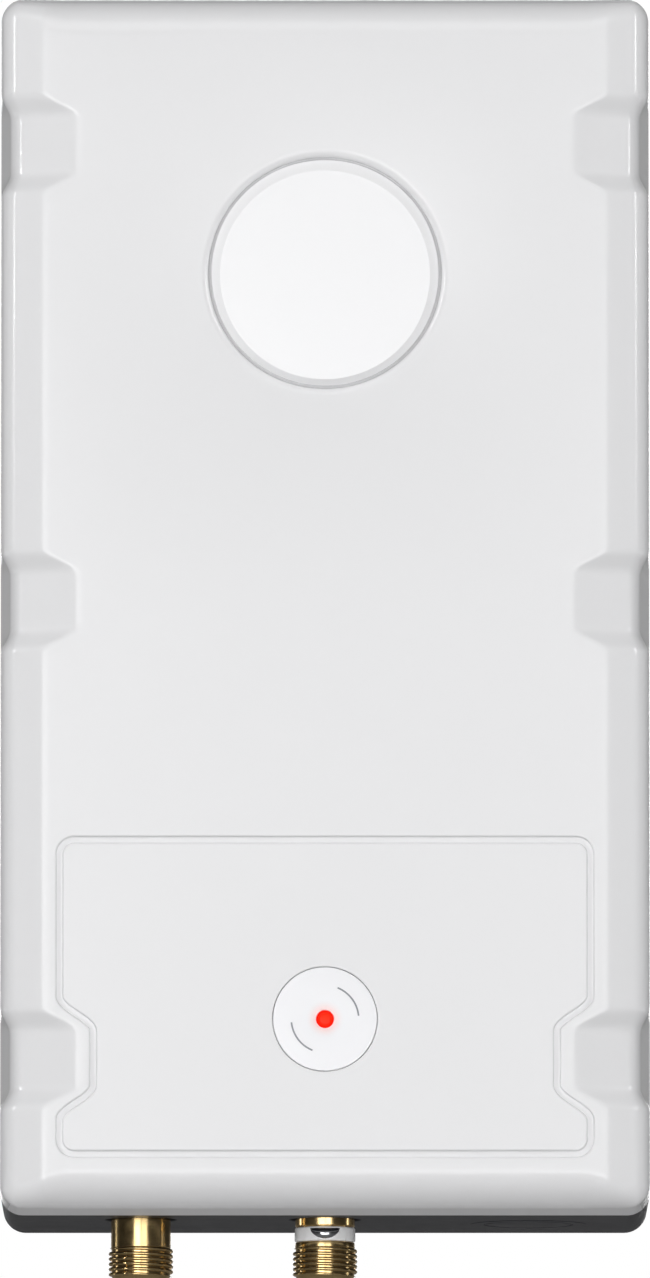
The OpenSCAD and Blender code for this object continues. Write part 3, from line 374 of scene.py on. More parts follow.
def hot_wire(name, tint):
    """Resistance wire: bright metal under straw and blue heat tints."""
    material, g = new_finish(name)
    place = g.place()
    heat = g.noise(g.turned(place, (0.4, 0.4, 1.0)), 90.0, 3.0)
    tone = g.node("ShaderNodeValToRGB", {"stops": [
        (0.30, opaque(tint)),
        (0.48, (0.42, 0.31, 0.20, 1.0)),
        (0.60, (0.26, 0.22, 0.27, 1.0)),
        (0.74, (0.20, 0.22, 0.28, 1.0)),
    ]}, {"Fac": heat})
    close_finish(g, {
        "Base Color": tone,
        "Metallic": 1.0,
        "Roughness": 0.3 + g.noise(place, 800.0) * 0.2,
        "Normal": g.bump(g.noise(place, 3000.0), 0.00001, 0.4),
    })
    return material


def woven_screen(name, tint):
    """Stainless filter cloth: crossing wires."""
    material, g = new_finish(name)
    across, back, _ = g.axes(g.place())
    wires = 2200.0
    weft = abs((across * wires).fraction() - 0.5) * 2.0
    warp = abs((back * wires).fraction() - 0.5) * 2.0
    mesh = weft.most(warp)
    close_finish(g, {
        "Base Color": g.blend(mesh.ramp(0.35, 0.8), shade(tint, 0.35), tint),
        "Metallic": 1.0,
        "Roughness": 0.45 - mesh * 0.15,
        "Normal": g.bump(mesh, 0.0001, 0.8),
    })
    return material


def circuit_board(name, tint):
    """Solder-masked board: copper runs show through the green, with bare pads among them."""
    material, g = new_finish(name)
    place = g.place()
    cells = g.node("ShaderNodeTexBrick", {"offset": 0.37, "squash": 1.7, "squash_frequency": 3}, {
        "Vector": g.turned(place, turn=(math.pi / 2, 0, 0)),
        "Color1": (1, 1, 1, 1),
        "Color2": (1, 1, 1, 1),
        "Mortar": (0, 0, 0, 1),
        "Scale": 95.0,
        "Mortar Size": 0.045,
        "Mortar Smooth": 0.2,
        "Brick Width": 0.9,
        "Row Height": 0.33,
    }, 1)
    grid = {"Vector": place, "Scale": 190.0, "Randomness": 0.55}
    dots = g.node("ShaderNodeTexVoronoi", {"distance": "CHEBYCHEV"}, grid)
    pads = dots.ramp(0.17, 0.13)
    hatch = g.noise(place, 1500.0)
    mask = g.blend(cells, tint, shade(tint, 2.1))
    close_finish(g, {
        "Base Color": g.blend(pads, g.blend(hatch, shade(tint, 0.9), mask), (0.62, 0.61, 0.58)),
        "Metallic": pads * 0.9,
        "Roughness": 0.32 + hatch * 0.12,
        "Normal": g.bump(cells + pads * 0.6, 0.00004, 0.6),
    })
    return material


def printed_indicator(name, tint):
    """Translucent white disc: a warm painted glow round the lit dot and two thin printed arcs."""
    colours = bpy.context.scene.heater_colours
    arc_r, arc_half, soft = 0.0069, 0.00017, 0.00005
    way_x, way_z = 0.80, 0.60
    # Radii between which the painted glow round the lit dot fades out
    painted_glow_in, painted_glow_out = 0.0017, 0.0046
    material, g = new_finish(name)
    place = g.place()
    across, back, up = g.axes(g.turned(place, shift=(0, 0, -LENS_Z)))
    reach = (across * across + up * up) ** 0.5
    ring = reach.ramp(arc_r - arc_half - soft, arc_r - arc_half + soft)
    ring = ring * reach.ramp(arc_r + arc_half + soft, arc_r + arc_half - soft)
    span = (abs(across * way_x + up * way_z) / reach).ramp(0.845, 0.865)
    front = back.ramp(LENS_LOW.y + 0.0004, LENS_LOW.y + 0.0002)
    # Painted glow: the lit dot's light painted onto the disc, strongest at its middle
    painted_glow = reach.ramp(painted_glow_out, painted_glow_in) ** 2.0
    cloud = g.noise(place, 60.0, 3.0)
    body = g.blend(cloud, shade(tint, 0.985), shade(tint, 1.015))
    # The painted glow tints the disc's own white pink near the dot
    body_with_painted_glow = g.blend(painted_glow * 0.40, body, (0.95, 0.42, 0.36))
    close_finish(g, {
        "Base Color": g.blend(ring * span * front * 0.85, body_with_painted_glow, colours.print),
        "Roughness": 0.3 + (g.noise(place, 500.0) - 0.5) * 0.1,
        # Painted glow again: a faint red emission, so the disc itself seems lit round the dot
        "Emission Color": g.blend(painted_glow * painted_glow, (0.0, 0.0, 0.0), colours.light),
        "Emission Strength": 0.06,
        "Normal": g.bump(g.noise(place, 2500.0), 0.00001, 0.2),
    })
    return material


def lit_pipe(name, tint):
    """Red light guide, brightest at its middle."""
    material, g = new_finish(name)
    across, _, up = g.axes(g.turned(g.place(), shift=(0, 0, -PIPE_Z)))
    reach = (across * across + up * up) ** 0.5
    close_finish(g, {
        "Base Color": g.blend(reach.ramp(0.0, 0.0018), tint, shade(tint, 0.75)),
        "Roughness": 0.22 + reach * 30.0,
        "Emission Color": g.blend(reach.ramp(0.0002, 0.0019), (1.0, 0.03, 0.006), (0.80, 0.004, 0.001)),
        "Emission Strength": 0.58,
        "Specular IOR Level": 0.1,
    })
    return material


def lead_cover(name, tint):
    """Extruded lead insulation with pale scuffs."""
    material, g = new_finish(name)
    place = g.place()
    scuff = g.noise(place, 700.0, 4.0, 0.7)
    close_finish(g, {
        "Base Color": g.blend(scuff.ramp(0.55, 0.9), tint, shade(tint, 1.5)),
        "Roughness": 0.38 + scuff * 0.16,
        "Normal": g.bump(g.noise(place, 1800.0), 0.00002, 0.35),
    })
    return material


# Moulded plastics: roughness, grain, depth of the grain, mottle, unevenness, and where the cover turns dull
MOULDED = {
    "cover_white": (0.19, 2600.0, 0.000003, 0.003, 0.03, COVER_LOW.z + 0.0004),
    "badge_white": (0.29, 3200.0, 0.000003, 0.001, 0.02),
    "charcoal": (0.46, 1800.0, 0.00006, 0.08, 0.10),
    "nylon": (0.30, 1500.0, 0.00001, 0.02, 0.10),
    "vessel_grey": (0.50, 1500.0, 0.00008, 0.10, 0.10),
    "relay_blue": (0.34, 1600.0, 0.00003, 0.06, 0.10),
    "capacitor_yellow": (0.36, 1400.0, 0.00004, 0.08, 0.10),
    "ivory": (0.42, 1600.0, 0.00003, 0.03, 0.10),
    "black_plastic": (0.44, 1700.0, 0.00005, 0.10, 0.10),
    "brown_plastic": (0.30, 1500.0, 0.00004, 0.14, 0.10),
    "red_button": (0.36, 1700.0, 0.00003, 0.05, 0.10),
}

# Metals: roughness, lay of the tool lines, their scale, wear, stain and depth
METALS = {
    "brass": (0.18, (0.05, 0.05, 1.0), 3200.0, 0.06, 0.30, 0.000005),
    "polished_steel": (0.10, (0.05, 1.0, 1.0), 2200.0, 0.05, 0.12, 0.000012),
    "steel": (0.30, (1.0, 1.0, 0.06), 2400.0, 0.14, 0.20, 0.000012),
    "copper_link": (0.26, (0.06, 1.0, 1.0), 2400.0, 0.14, 0.35, 0.000012),
    "aluminium": (0.34, (0.05, 1.0, 1.0), 2000.0, 0.16, 0.15, 0.000012),
    "green_metal": (0.36, (1.0, 1.0, 0.06), 2400.0, 0.14, 0.20, 0.000012),
}

# Finishes of their own. Every slot that is in none of these tables is a lead's cover
SPECIAL = {
    "lens_white": printed_indicator,
    "red_light": lit_pipe,
    "rubber": soft_rubber,
    "ceramic": glazed_ceramic,
    "heating_wire": hot_wire,
    "screen": woven_screen,
    "board_green": circuit_board,
}

# Slots whose colour is a setting. The others take theirs from the record
CHOSEN = {
    "cover_white": "cover",
    "badge_white": "badge",
    "lens_white": "lens",
    "red_light": "light",
    "charcoal": "base",
    "brass": "brass",
    "nylon": "collar",
}
FINISH = {}


def finish(slot):
    """The material of one of the record's slots, made once."""
    if slot not in FINISH:
        colours = bpy.context.scene.heater_colours
        tint = getattr(colours, CHOSEN[slot]) if slot in CHOSEN else COLOUR_OF[slot]
        if slot in MOULDED:
            FINISH[slot] = moulded(slot, tint, *MOULDED[slot])
        elif slot in METALS:
            FINISH[slot] = metal(slot, tint, *METALS[slot])
        else:
            FINISH[slot] = SPECIAL.get(slot, lead_cover)(slot, tint)
    return FINISH[slot]


# Mesh helpers

# Rounding of a node's edges, in millimetres, where it isn't the usual one
USUAL_EASE = 0.25
EASE = {
    "wire_lugs": 0.1,
    "inlet_filter": 0.1,
    "indicator_led": 0.1,
    "control_board": 0.12,
    "element_link": 0.15,
    "cooling_plate": 0.2,
    "power_switch": 0.15,
    "board_chip": 0.15,
    "head_gasket": 0.15,
    "element_core_inlet": 0.2,
    "element_core_outlet": 0.2,
    "base_tray": 0.35,
}
# Bodies of the nodes that move by themselves
BODY_OF = {"piston_shuttle": "shuttle", "piston_magnet": "shuttle", "reset_button": "button"}


def new_piece(name, mesh, slot):
    """An object with the finish of one of the record's slots."""
    piece = bpy.data.objects.new(name, mesh)
    bpy.context.scene.collection.objects.link(piece)
    mesh.materials.clear()
    mesh.materials.append(finish(slot))
    return piece


def discard(piece):
    mesh = piece.data
    bpy.data.objects.remove(piece)
    bpy.data.meshes.remove(mesh)


def soften(mesh, degrees):
    """Shades a mesh smooth, with edges sharper than an angle kept sharp."""
    mesh.shade_smooth()
    mesh.set_sharp_from_angle(angle=math.radians(degrees))


def set_in(piece, body, *nodes):
    """Fixes a piece to a body and puts it in the place of the nodes that it stands for."""
    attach(piece, body)
    if nodes:
        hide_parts(*nodes)


def plain(piece):
    """Turns a piece's evaluated shape into its plain mesh."""
    depsgraph = bpy.context.evaluated_depsgraph_get()
    depsgraph.update()
    mesh = bpy.data.meshes.new_from_object(piece.evaluated_get(depsgraph), depsgraph=depsgraph)
    old = piece.data
    mesh.name = old.name
    piece.modifiers.clear()
    piece.data = mesh
    bpy.data.meshes.remove(old)
    return piece


def fillet(profile, radii, steps=5):
    """Rounds the corners of a closed line of (r, h) points; a radius of 0 keeps the corner."""
    line = []
    count = len(profile)
    for i, radius in enumerate(radii):
        corner = np.array(profile[i], float)
        if radius == 0:
            line.append(tuple(corner))
            continue
        back = np.array(profile[i - 1], float) - corner
        ahead = np.array(profile[(i + 1) % count], float) - corner
        back /= np.linalg.norm(back)
        ahead /= np.linalg.norm(ahead)
        half = math.acos(max(-1.0, min(1.0, float(back @ ahead)))) / 2
        reach = radius / math.tan(half)
        centre = corner + (back + ahead) / np.linalg.norm(back + ahead) * radius / math.sin(half)
        first, last = corner + back * reach - centre, corner + ahead * reach - centre
        turn = math.atan2(first[0] * last[1] - first[1] * last[0], float(first @ last))
        for k in range(steps + 1):
            a = turn * k / steps
            spin = np.array([[math.cos(a), -math.sin(a)], [math.sin(a), math.cos(a)]])
            line.append(tuple(centre + spin @ first))
    return line


def lathe(bm, line, centre, axis, steps):
    """Turns a closed line of (r, h) millimetre points round an axis through centre."""
    axis = Vector(axis).normalized()
    side = axis.orthogonal().normalized()
    other = axis.cross(side)
    rings = []
    for r, h in line:
        middle = Vector(centre) + axis * h * MM
        if r < 1e-6:
            rings.append([bm.verts.new(middle)] * steps)
            continue
        ring = []
        for k in range(steps):
            a = 2 * math.pi * k / steps
            ring.append(bm.verts.new(middle + (side * math.cos(a) + other * math.sin(a)) * r * MM))
        rings.append(ring)
    for first, last in zip(rings, rings[1:] + rings[:1]):
        for k in range(steps):
            n = (k + 1) % steps
            corners = []
            for vert in (first[k], first[n], last[n], last[k]):
                if vert not in corners:
                    corners.append(vert)
            if len(corners) > 2:
                bm.faces.new(corners)


def box(bm, low, high):
    """A plain box in millimetres."""
    corners = [bm.verts.new(Vector(place) * MM) for place in itertools.product(*zip(low, high))]
    for face in ((0, 1, 3, 2), (4, 6, 7, 5), (0, 4, 5, 1), (2, 3, 7, 6), (0, 2, 6, 4), (1, 5, 7, 3)):
        bm.faces.new([corners[i] for i in face])


def close_mesh(bm, name):
    """Turns the faces outwards and makes a mesh of them."""
    bmesh.ops.recalc_face_normals(bm, faces=bm.faces)
    mesh = bpy.data.meshes.new(name)
    bm.to_mesh(mesh)
    bm.free()
    return mesh


def turned_piece(name, slot, line, centre, axis, steps=96):
    """A piece turned round an axis from a closed line of (r, h) millimetre points."""
    bm = bmesh.new()
    lathe(bm, line, centre, axis, steps)
    return new_piece(name, close_mesh(bm, name), slot)


def hull_cutter(points, turn=0.0):
    """A closed convex shape round millimetre points, turned about the vertical, to cut with."""
    bm = bmesh.new()
    for point in points:
        bm.verts.new(Vector(point) * MM)
    bmesh.ops.convex_hull(bm, input=bm.verts)
    bm.transform(Matrix.Rotation(turn, 4, "Z"))
    cutter = bpy.data.objects.new("cutter", close_mesh(bm, "cutter"))
    bpy.context.scene.collection.objects.link(cutter)
    return cutter


def islands(node):
    """The separate solids of a CAD node, each as its lowest and highest corner in millimetres."""
    bm = bmesh.new()
    bm.from_mesh(NODES[node].data)
    bmesh.ops.remove_doubles(bm, verts=bm.verts, dist=1e-7)
    left = set(bm.verts)
    boxes = []
    while left:
        stack = [left.pop()]
        points = []
        while stack:
            vert = stack.pop()
            points.append(vert.co / MM)
            for edge in vert.link_edges:
                other = edge.other_vert(vert)
                if other in left:
                    left.remove(other)
                    stack.append(other)
        points = np.array(points)
        boxes.append((points.min(axis=0), points.max(axis=0)))
    bm.free()
    return sorted(boxes, key=lambda pair: tuple(pair[0].round(3)))


def eased(node, width):
    """A merged copy of a CAD node's mesh with its sharp edges rounded by a width in millimetres."""
    bm = bmesh.new()
    bm.from_mesh(NODES[node].data)
    bmesh.ops.remove_doubles(bm, verts=bm.verts, dist=2e-6)
    bmesh.ops.dissolve_limit(bm, angle_limit=math.radians(1.0), verts=bm.verts, edges=bm.edges)
    sharp = [
        edge for edge in bm.edges
        if len(edge.link_faces) == 2 and edge.calc_face_angle(0.0) > math.radians(35)
    ]
    bmesh.ops.bevel(
        bm, geom=sharp, offset=width * MM, offset_type="OFFSET", segments=2, profile=0.5,
        affect="EDGES", clamp_overlap=False,
    )
    return close_mesh(bm, node + "_fine")


def boolean(piece, cutters):
    """Cuts closed shapes from a piece and removes the shapes."""
    for cutter in cutters:
        step = piece.modifiers.new("cut", "BOOLEAN")
        step.operation, step.solver, step.object = "DIFFERENCE", "EXACT", cutter
    plain(piece)
    for cutter in cutters:
        discard(cutter)


# The cover


def smooth_step(v):
    """0 up to v = 0, 1 from v = 1 on, and a smooth rise between."""
    v = np.clip(v, 0.0, 1.0)
    return v * v * (3.0 - 2.0 * v)


def soft_max(a, b, k):
    """The larger of two distances, with the crease between them eased over k."""
    h = np.maximum(k - np.abs(a - b), 0.0) / k
    return np.maximum(a, b) + h * h * k * 0.25


def round_max(a, b, r):
    """The larger of two distances, with the edge between them rounded by r."""
    a, b = a + r, b + r
    return np.hypot(np.maximum(a, 0.0), np.maximum(b, 0.0)) + np.minimum(np.maximum(a, b), 0.0) - r


class CoverForm:
    """The cover's two surfaces as distances, in millimetres: x across, d back from the face, z up."""

    # The rays that find the surfaces start on this rectangle, closer together near a bay
    core_x, core_z = 40.0, 108.0
    bay_near, fine_z, coarse_z = 16.0, 0.6, 3.0
    # Points crowd together on a ray where it passes the side edges, in degrees from straight ahead
    edge_turn, edge_spread, edge_crowd = 55.0, 8.0, 2.0
    # A point is found by halving the longest ray this many times
    longest, halvings = 90.0, 46
    outer_rows, inner_rows = 46, 18
    # Rows of points on the side walls, behind the cap
    wall_rows = (12.0, 26.0)
    # A bay's dent is full up to this depth
    dent_front = 5.7
    # The crown's rounding fades out with depth and towards the corners
    crown_back, crown_fade = 12.0, 6.0
    crown_side, crown_side_fade = 14.0, 11.0
    # Easing of the crease between face and slope
    face_ease, inner_ease = 0.12, 0.35
    # Inner skin: its gap to the cover's ends, and its roundings
    end_wall, inner_r, inner_corner_r = 3.2, 2.6, 5.4
    # How far the flat fronts stay clear of the roundings round them
    flat_gap, crown_gap = 1.4, 0.2
    inner_flat_gap, inner_end_gap = 1.8, 5.6

    def __init__(self, sizes):
        for key in HeaterCover.__annotations__:
            value = getattr(sizes, key)
            setattr(self, key, value if key == "tilt" else value / MM)
        self.sin, self.cos = math.sin(self.tilt), math.cos(self.tilt)
        self.bay_flat = self.flat_w - self.bay_in
        self.inner_w = self.half_w - self.bay_step - self.wall
        self.inner_h = self.half_h - self.end_wall

    def bay_rise(self, z):
        """0 on a bay's floor and 1 beyond its sloping ends."""
        nearest = self.bay_pitch * np.clip(np.round(z / self.bay_pitch), -1, 1)
        return smooth_step((np.abs(z - nearest) - self.bay_floor / 2) / self.bay_run)

    def flat_edge(self, z):
        """Half the width of the flat face at this height."""
        return self.bay_flat + self.bay_in * self.bay_rise(z)

    def outer(self, x, d, z):
        """Distance to the outer skin, below 0 inside it."""
        x = np.abs(x)
        rise = self.bay_rise(z)
        slope = (x - self.flat_edge(z)) * self.sin - d * self.cos
        run = np.clip(d / self.cap, 0.0, 1.0)
        dent = np.clip((self.cap - d) / (self.cap - self.dent_front), 0.0, 1.0)
        side = x - self.half_w + self.side_draft * (1.0 - run) + self.bay_step * dent * (1.0 - rise)
        edge = self.bay_edge_r + (self.edge_r - self.bay_edge_r) * rise
        plan = round_max(soft_max(-d, slope, self.face_ease), side, edge)
        end = np.abs(z) - self.half_h + self.crown_draft * (1.0 - run)
        crowned = smooth_step((self.crown_back - d) / self.crown_fade)
        crowned = crowned * (1.0 - smooth_step((x - self.half_w + self.crown_side) / self.crown_side_fade))
        return round_max(plan, end, self.corner_r + (self.crown_r - self.corner_r) * crowned)

    def inner(self, x, d, z):
        """Distance to the inner skin, below 0 inside it."""
        x = np.abs(x)
        slope = (x - self.bay_flat) * self.sin - d * self.cos + self.wall
        plan = round_max(soft_max(self.wall - d, slope, self.inner_ease), x - self.inner_w, self.inner_r)
        return round_max(plan, np.abs(z) - self.inner_h, self.inner_corner_r)

    def columns(self):
        """Rays round the cover, anticlockwise from the front: start, direction, and if a wall follows."""
        half = [0.0]
        while half[-1] < self.core_z - 1e-6:
            near = min(half[-1], abs(half[-1] - self.bay_pitch)) < self.bay_near
            half.append(min(half[-1] + (self.fine_z if near else self.coarse_z), self.core_z))
        rise = np.array([-z for z in reversed(half[1:])] + half)
        step = math.degrees(math.atan2(self.half_h - self.shelf - self.core_z, self.half_w - self.core_x))
        fan = np.radians(np.unique(np.concatenate([
            np.linspace(1.5, 22, 14), np.linspace(22.8, 41, 26), np.linspace(43, 88, 18), [step],
        ])))
        step = math.radians(step) + 1e-9
        across = np.linspace(self.core_x, -self.core_x, 17)
        rows = []
        rows += [(self.core_x, z, 1.0, 0.0, True) for z in rise]
        rows += [(self.core_x, self.core_z, math.cos(a), math.sin(a), True) for a in fan]
        rows += [(x, self.core_z, 0.0, 1.0, True) for x in across]
        rows += [(-self.core_x, self.core_z, -math.cos(a), math.sin(a), True) for a in fan[::-1]]
        rows += [(-self.core_x, z, -1.0, 0.0, True) for z in rise[::-1]]
        rows += [(-self.core_x, -self.core_z, -math.cos(a), -math.sin(a), a <= step) for a in fan]
        rows += [(x, -self.core_z, 0.0, -1.0, False) for x in -across]
        rows += [(self.core_x, -self.core_z, math.cos(a), -math.sin(a), a <= step) for a in fan[::-1]]
        return np.array(rows, float)

    def sheet(self, surface, columns, front, reach_x, reach_z, count):
        """Grid of points on a surface, from the edge of its flat front to the end of the cap."""
        x0, z0, ux, uz = (columns[:, i:i + 1] for i in range(4))
        with np.errstate(divide="ignore"):
            reach = np.minimum(reach_x[:, None] / np.abs(ux), reach_z / np.abs(uz))
        start = np.degrees(np.arctan2(reach, self.cap - front))
        fine = np.linspace(0.0, 1.0, 400)[None, :]
        bow = start + (90.0 - start) * fine
        crowd = np.exp(-(((bow - self.edge_turn) / self.edge_spread) ** 2))
        weight = np.cumsum(1.0 + self.edge_crowd * crowd, axis=1)
        weight = (weight - weight[:, :1]) / (weight[:, -1:] - weight[:, :1])
        wanted = np.linspace(0.0, 1.0, count)
        turn = np.radians(np.array([np.interp(wanted, w, b) for w, b in zip(weight, bow)]))
        low, high = np.zeros_like(turn), np.full_like(turn, self.longest)
        for _ in range(self.halvings):
            mid = (low + high) / 2
            out = mid * np.sin(turn)
            inside = surface(x0 + ux * out, self.cap - mid * np.cos(turn), z0 + uz * out) < 0
            low, high = np.where(inside, mid, low), np.where(inside, high, mid)
        out = low * np.sin(turn)
        depth = self.cap - low * np.cos(turn)
        depth[:, 0] = front
        return np.stack([x0 + ux * out, depth, z0 + uz * out], axis=-1)

    def skins(self, columns):
        """Grids of points on the outer and the inner skin."""
        flat = np.where(columns[:, 3] == 0.0, self.flat_edge(columns[:, 1]), self.flat_w)
        outer_x = flat - self.flat_gap - self.core_x
        outer_z = self.half_h - self.crown_draft - self.crown_r - self.crown_gap - self.core_z
        leaned = columns.copy()
        leaned[:, 2] *= (self.inner_w - self.core_x) / (self.half_w - self.core_x)
        leaned[:, 2:4] /= np.hypot(leaned[:, 2], leaned[:, 3])[:, None]
        inner_x = np.full(len(columns), self.bay_flat - self.inner_flat_gap - self.core_x)
        inner_z = self.inner_h - self.inner_end_gap - self.core_z
        return (
            self.sheet(self.outer, columns, 0.0, outer_x, outer_z, self.outer_rows),
            self.sheet(self.inner, leaned, self.wall, inner_x, inner_z, self.inner_rows),
        )


def panel_line(form, groove):
    """Middle line of the panel's groove, anticlockwise, in millimetres, with its outward directions."""
    half, top, low = groove.half_w / MM, -groove.top / MM, -groove.low / MM
    corner, run = groove.corner / MM, groove.run / MM
    bay, bay_half = -form.bay_pitch, form.bay_floor / 2

    def arc(centre_z, first, last):
        turns = np.radians(np.linspace(first, last, 15))
        return [(half - corner + corner * math.cos(a), centre_z + corner * math.sin(a)) for a in turns]

    steps = [(form.bay_in * (1 - math.cos(math.pi * u)) / 2, run * (1 - u)) for u in np.linspace(0, 1, 29)]
    right = arc(low + corner, -90, 0)
    right += [(half - inset, bay - bay_half - off) for inset, off in steps]
    right += [(half - inset, bay + bay_half + off) for inset, off in reversed(steps)]
    right += [(half, z) for z in np.linspace(bay + form.bay_near, top - corner - 4, 6)]
    right += arc(top - corner, 0, 90)
    line = np.array(right + [(-x, z) for x, z in reversed(right)])
    ahead = np.roll(line, -1, axis=0) - np.roll(line, 1, axis=0)
    out = np.stack([ahead[:, 1], -ahead[:, 0]], axis=1)
    return line, out / np.linalg.norm(out, axis=1, keepdims=True)


# Rounded edges of the badge's recess and the lens hole: (out from the radius, back from the face)
BADGE_EDGE = (
    (1.9, 0), (1.55, 0.03), (1.2, 0.1), (0.85, 0.24), (0.55, 0.44), (0.3, 0.7), (0.1, 1.05), (0, 1.4),
    (0, 2.1), (-0.6, 2.1), (-0.6, 1.2), (-0.7, 1.2),
)
LENS_EDGE = ((0.6, 0), (0.28, 0), (0.15, 0.03), (0.05, 0.12), (0, 0.3))
BADGE_GAP, LENS_HOLE_R = 0.25, 10.75


class CoverMesh:
    """Collects the cover's points and faces, in millimetres: x across, d back from the face, z up."""

    def __init__(self, form):
        self.form = form
        self.bm = bmesh.new()
        self.front_y = COVER_LOW.y / MM

    def add(self, points, keep=None):
        """A loop of points, with nothing where keep is false."""
        return [
            self.bm.verts.new((x * MM, (self.front_y + d) * MM, z * MM)) if keep is None or keep[k] else None
            for k, (x, d, z) in enumerate(points)
        ]

    def quad(self, first, last, k):
        n = (k + 1) % len(first)
        self.bm.faces.new((first[k], first[n], last[n], last[k]))

    def skin(self, loops):
        """Faces from each loop to the next."""
        for first, last in zip(loops, loops[1:]):
            for k in range(len(first)):
                self.quad(first, last, k)
        return loops

    def fill(self, *loops):
        """A flat front between loops."""
        pairs = [(loop[k - 1], loop[k]) for loop in loops for k in range(len(loop))]
        edges = [self.bm.edges.get(pair) or self.bm.edges.new(pair) for pair in pairs]
        bmesh.ops.triangle_fill(self.bm, use_beauty=True, edges=edges, normal=FORWARD)

    def cap(self, sheet, walled):
        """The shaped front of one skin: gives its front loop and the loops of its side walls."""
        rows = self.skin([self.add(sheet[:, r]) for r in range(sheet.shape[1])])
        walls = [rows[-1]]
        for d in [self.form.cap + row for row in self.form.wall_rows] + [self.form.depth]:
            points = sheet[:, -1].copy()
            points[:, 1] = d
            walls.append(self.add(points, walled))
        return rows[0], walls

    def sides(self, skins, walled):
        """The side walls of both skins and the rim that joins them."""
        outer, inner = skins
        for k in range(len(walled)):
            n = (k + 1) % len(walled)
            if walled[k] and walled[n]:
                for walls in skins:
                    for first, last in zip(walls, walls[1:]):
                        self.quad(first, last, k)
                self.quad(outer[-1], inner[-1], k)
                continue
            self.quad(outer[0], inner[0], k)
            if walled[k] != walled[n]:
                end = k if walled[k] else n
                out_line, in_line = ([wall[end] for wall in walls] for walls in skins)
                for i in range(len(out_line) - 1):
                    self.bm.faces.new((out_line[i], out_line[i + 1], in_line[i + 1], in_line[i]))

    def groove(self, sizes):
        """The panel's groove, from its outer edge to its inner edge."""
        line, out = panel_line(self.form, sizes)
        half, deep = sizes.width / MM / 2, sizes.depth / MM
        section = [(0.42, 0.0), (0.20, 0.0), (0.10, 0.03), (0.0, 0.13), (-0.05, 0.34)]
        section += [(-0.16, deep - 0.06), (-0.30, deep)]
        section = [(half + a, d) for a, d in section]
        section += [(-a, d) for a, d in reversed(section)]
        return self.skin([self.add([(x, d, z) for x, z in line + out * a]) for a, d in section])

    def round_edge(self, centre_z, radius, edge, steps):
        """The edge of a round hole, from the face inwards."""
        turns = np.linspace(0, 2 * math.pi, steps, endpoint=False)
        rings = []
        for a, d in edge:
            r = radius + a
            rings.append(self.add([(r * math.cos(t), d, centre_z + r * math.sin(t)) for t in turns]))
        return self.skin(rings)

    def ribs(self):
        """Two upright ribs behind the face."""
        place, half, low, high, deep, sunk = 15.0, 0.8, -25.0, 95.0, 3.0, 0.4
        back_y = self.front_y + self.form.wall
        for x in (-place, place):
            box(self.bm, (x - half, back_y - sunk, low), (x + half, back_y + deep, high))


def make_cover(form, groove_sizes):
    """The cover's closed mesh: two skins, rim, groove, badge recess, lens hole and ribs."""
    cover = CoverMesh(form)
    columns = form.columns()
    walled = columns[:, 4] > 0.5
    fronts, skins = zip(*[cover.cap(sheet, walled) for sheet in form.skins(columns)])
    cover.sides(skins, walled)
    groove = cover.groove(groove_sizes)
    badge = cover.round_edge(BADGE_Z / MM, BADGE_HIGH.x / MM + BADGE_GAP, BADGE_EDGE, 160)
    cover.bm.faces.new(badge[-1])
    lens_edge = LENS_EDGE + ((0, form.wall - 0.2), (0, form.wall))
    lens = cover.round_edge(LENS_Z / MM, LENS_HOLE_R, lens_edge, 120)
    cover.fill(fronts[0], groove[0], badge[0])
    cover.fill(groove[-1], lens[0])
    cover.fill(fronts[1], lens[-1])
    cover.ribs()
    return close_mesh(cover.bm, "front_cover_fine")


def slot_cutters(form):
    """Closed shapes that open the two side slots to the rear rim: a straight slot and its countersink."""
    slot_r, sunk_r, slot_y, rear = 2.1, 4.9, -18.0, COVER_HIGH.y / MM + 2.0
    straight = ((slot_r, form.inner_w - 3.0), (slot_r, form.half_w - 2.0))
    sunk = ((slot_r, form.half_w - 2.1), (sunk_r, form.half_w + 0.7))
    turns = np.linspace(0, 2 * math.pi, 48, endpoint=False)
    cutters = []
    for side, ends in itertools.product((-1, 1), (straight, sunk)):
        cutters.append(hull_cutter([
            (side * x, y + r * math.cos(a), r * math.sin(a))
            for r, x in ends for y in (slot_y, rear) for a in turns
        ]))
    return cutters


# Geometry node trees


def new_tree(name, inputs):
    """A geometry tree with a geometry input, named inputs and one geometry output."""
    tree = bpy.data.node_groups.new(name, "GeometryNodeTree")
    tree.interface.new_socket("Geometry", in_out="INPUT", socket_type="NodeSocketGeometry")
    for label, kind in inputs:
        tree.interface.new_socket(label, in_out="INPUT", socket_type="NodeSocket" + kind)
    tree.interface.new_socket("Geometry", in_out="OUTPUT", socket_type="NodeSocketGeometry")
    graph = Graph(tree)
    start = graph.node("NodeGroupInput").socket.node
    return tree, graph, {output.name: Signal(graph, output) for output in start.outputs if output.name}


def end_tree(graph, shape, material):
    """Makes instances real, sets the material and gives the shape out."""
    shape = graph.node("GeometryNodeRealizeInstances", None, {"Geometry": shape})
    shape = graph.node("GeometryNodeSetMaterial", None, {"Geometry": shape, "Material": material})
    graph.node("NodeGroupOutput", None, {"Geometry": shape})


def run_tree(piece, tree, **values):
    """Sets a tree's named inputs on a piece and turns the result into a plain mesh."""
    step = piece.modifiers.new(tree.name, "NODES")
    step.node_group = tree
    for item in tree.interface.items_tree:
        if item.in_out == "INPUT" and item.name in values:
            step[item.identifier] = values[item.name]
    plain(piece)


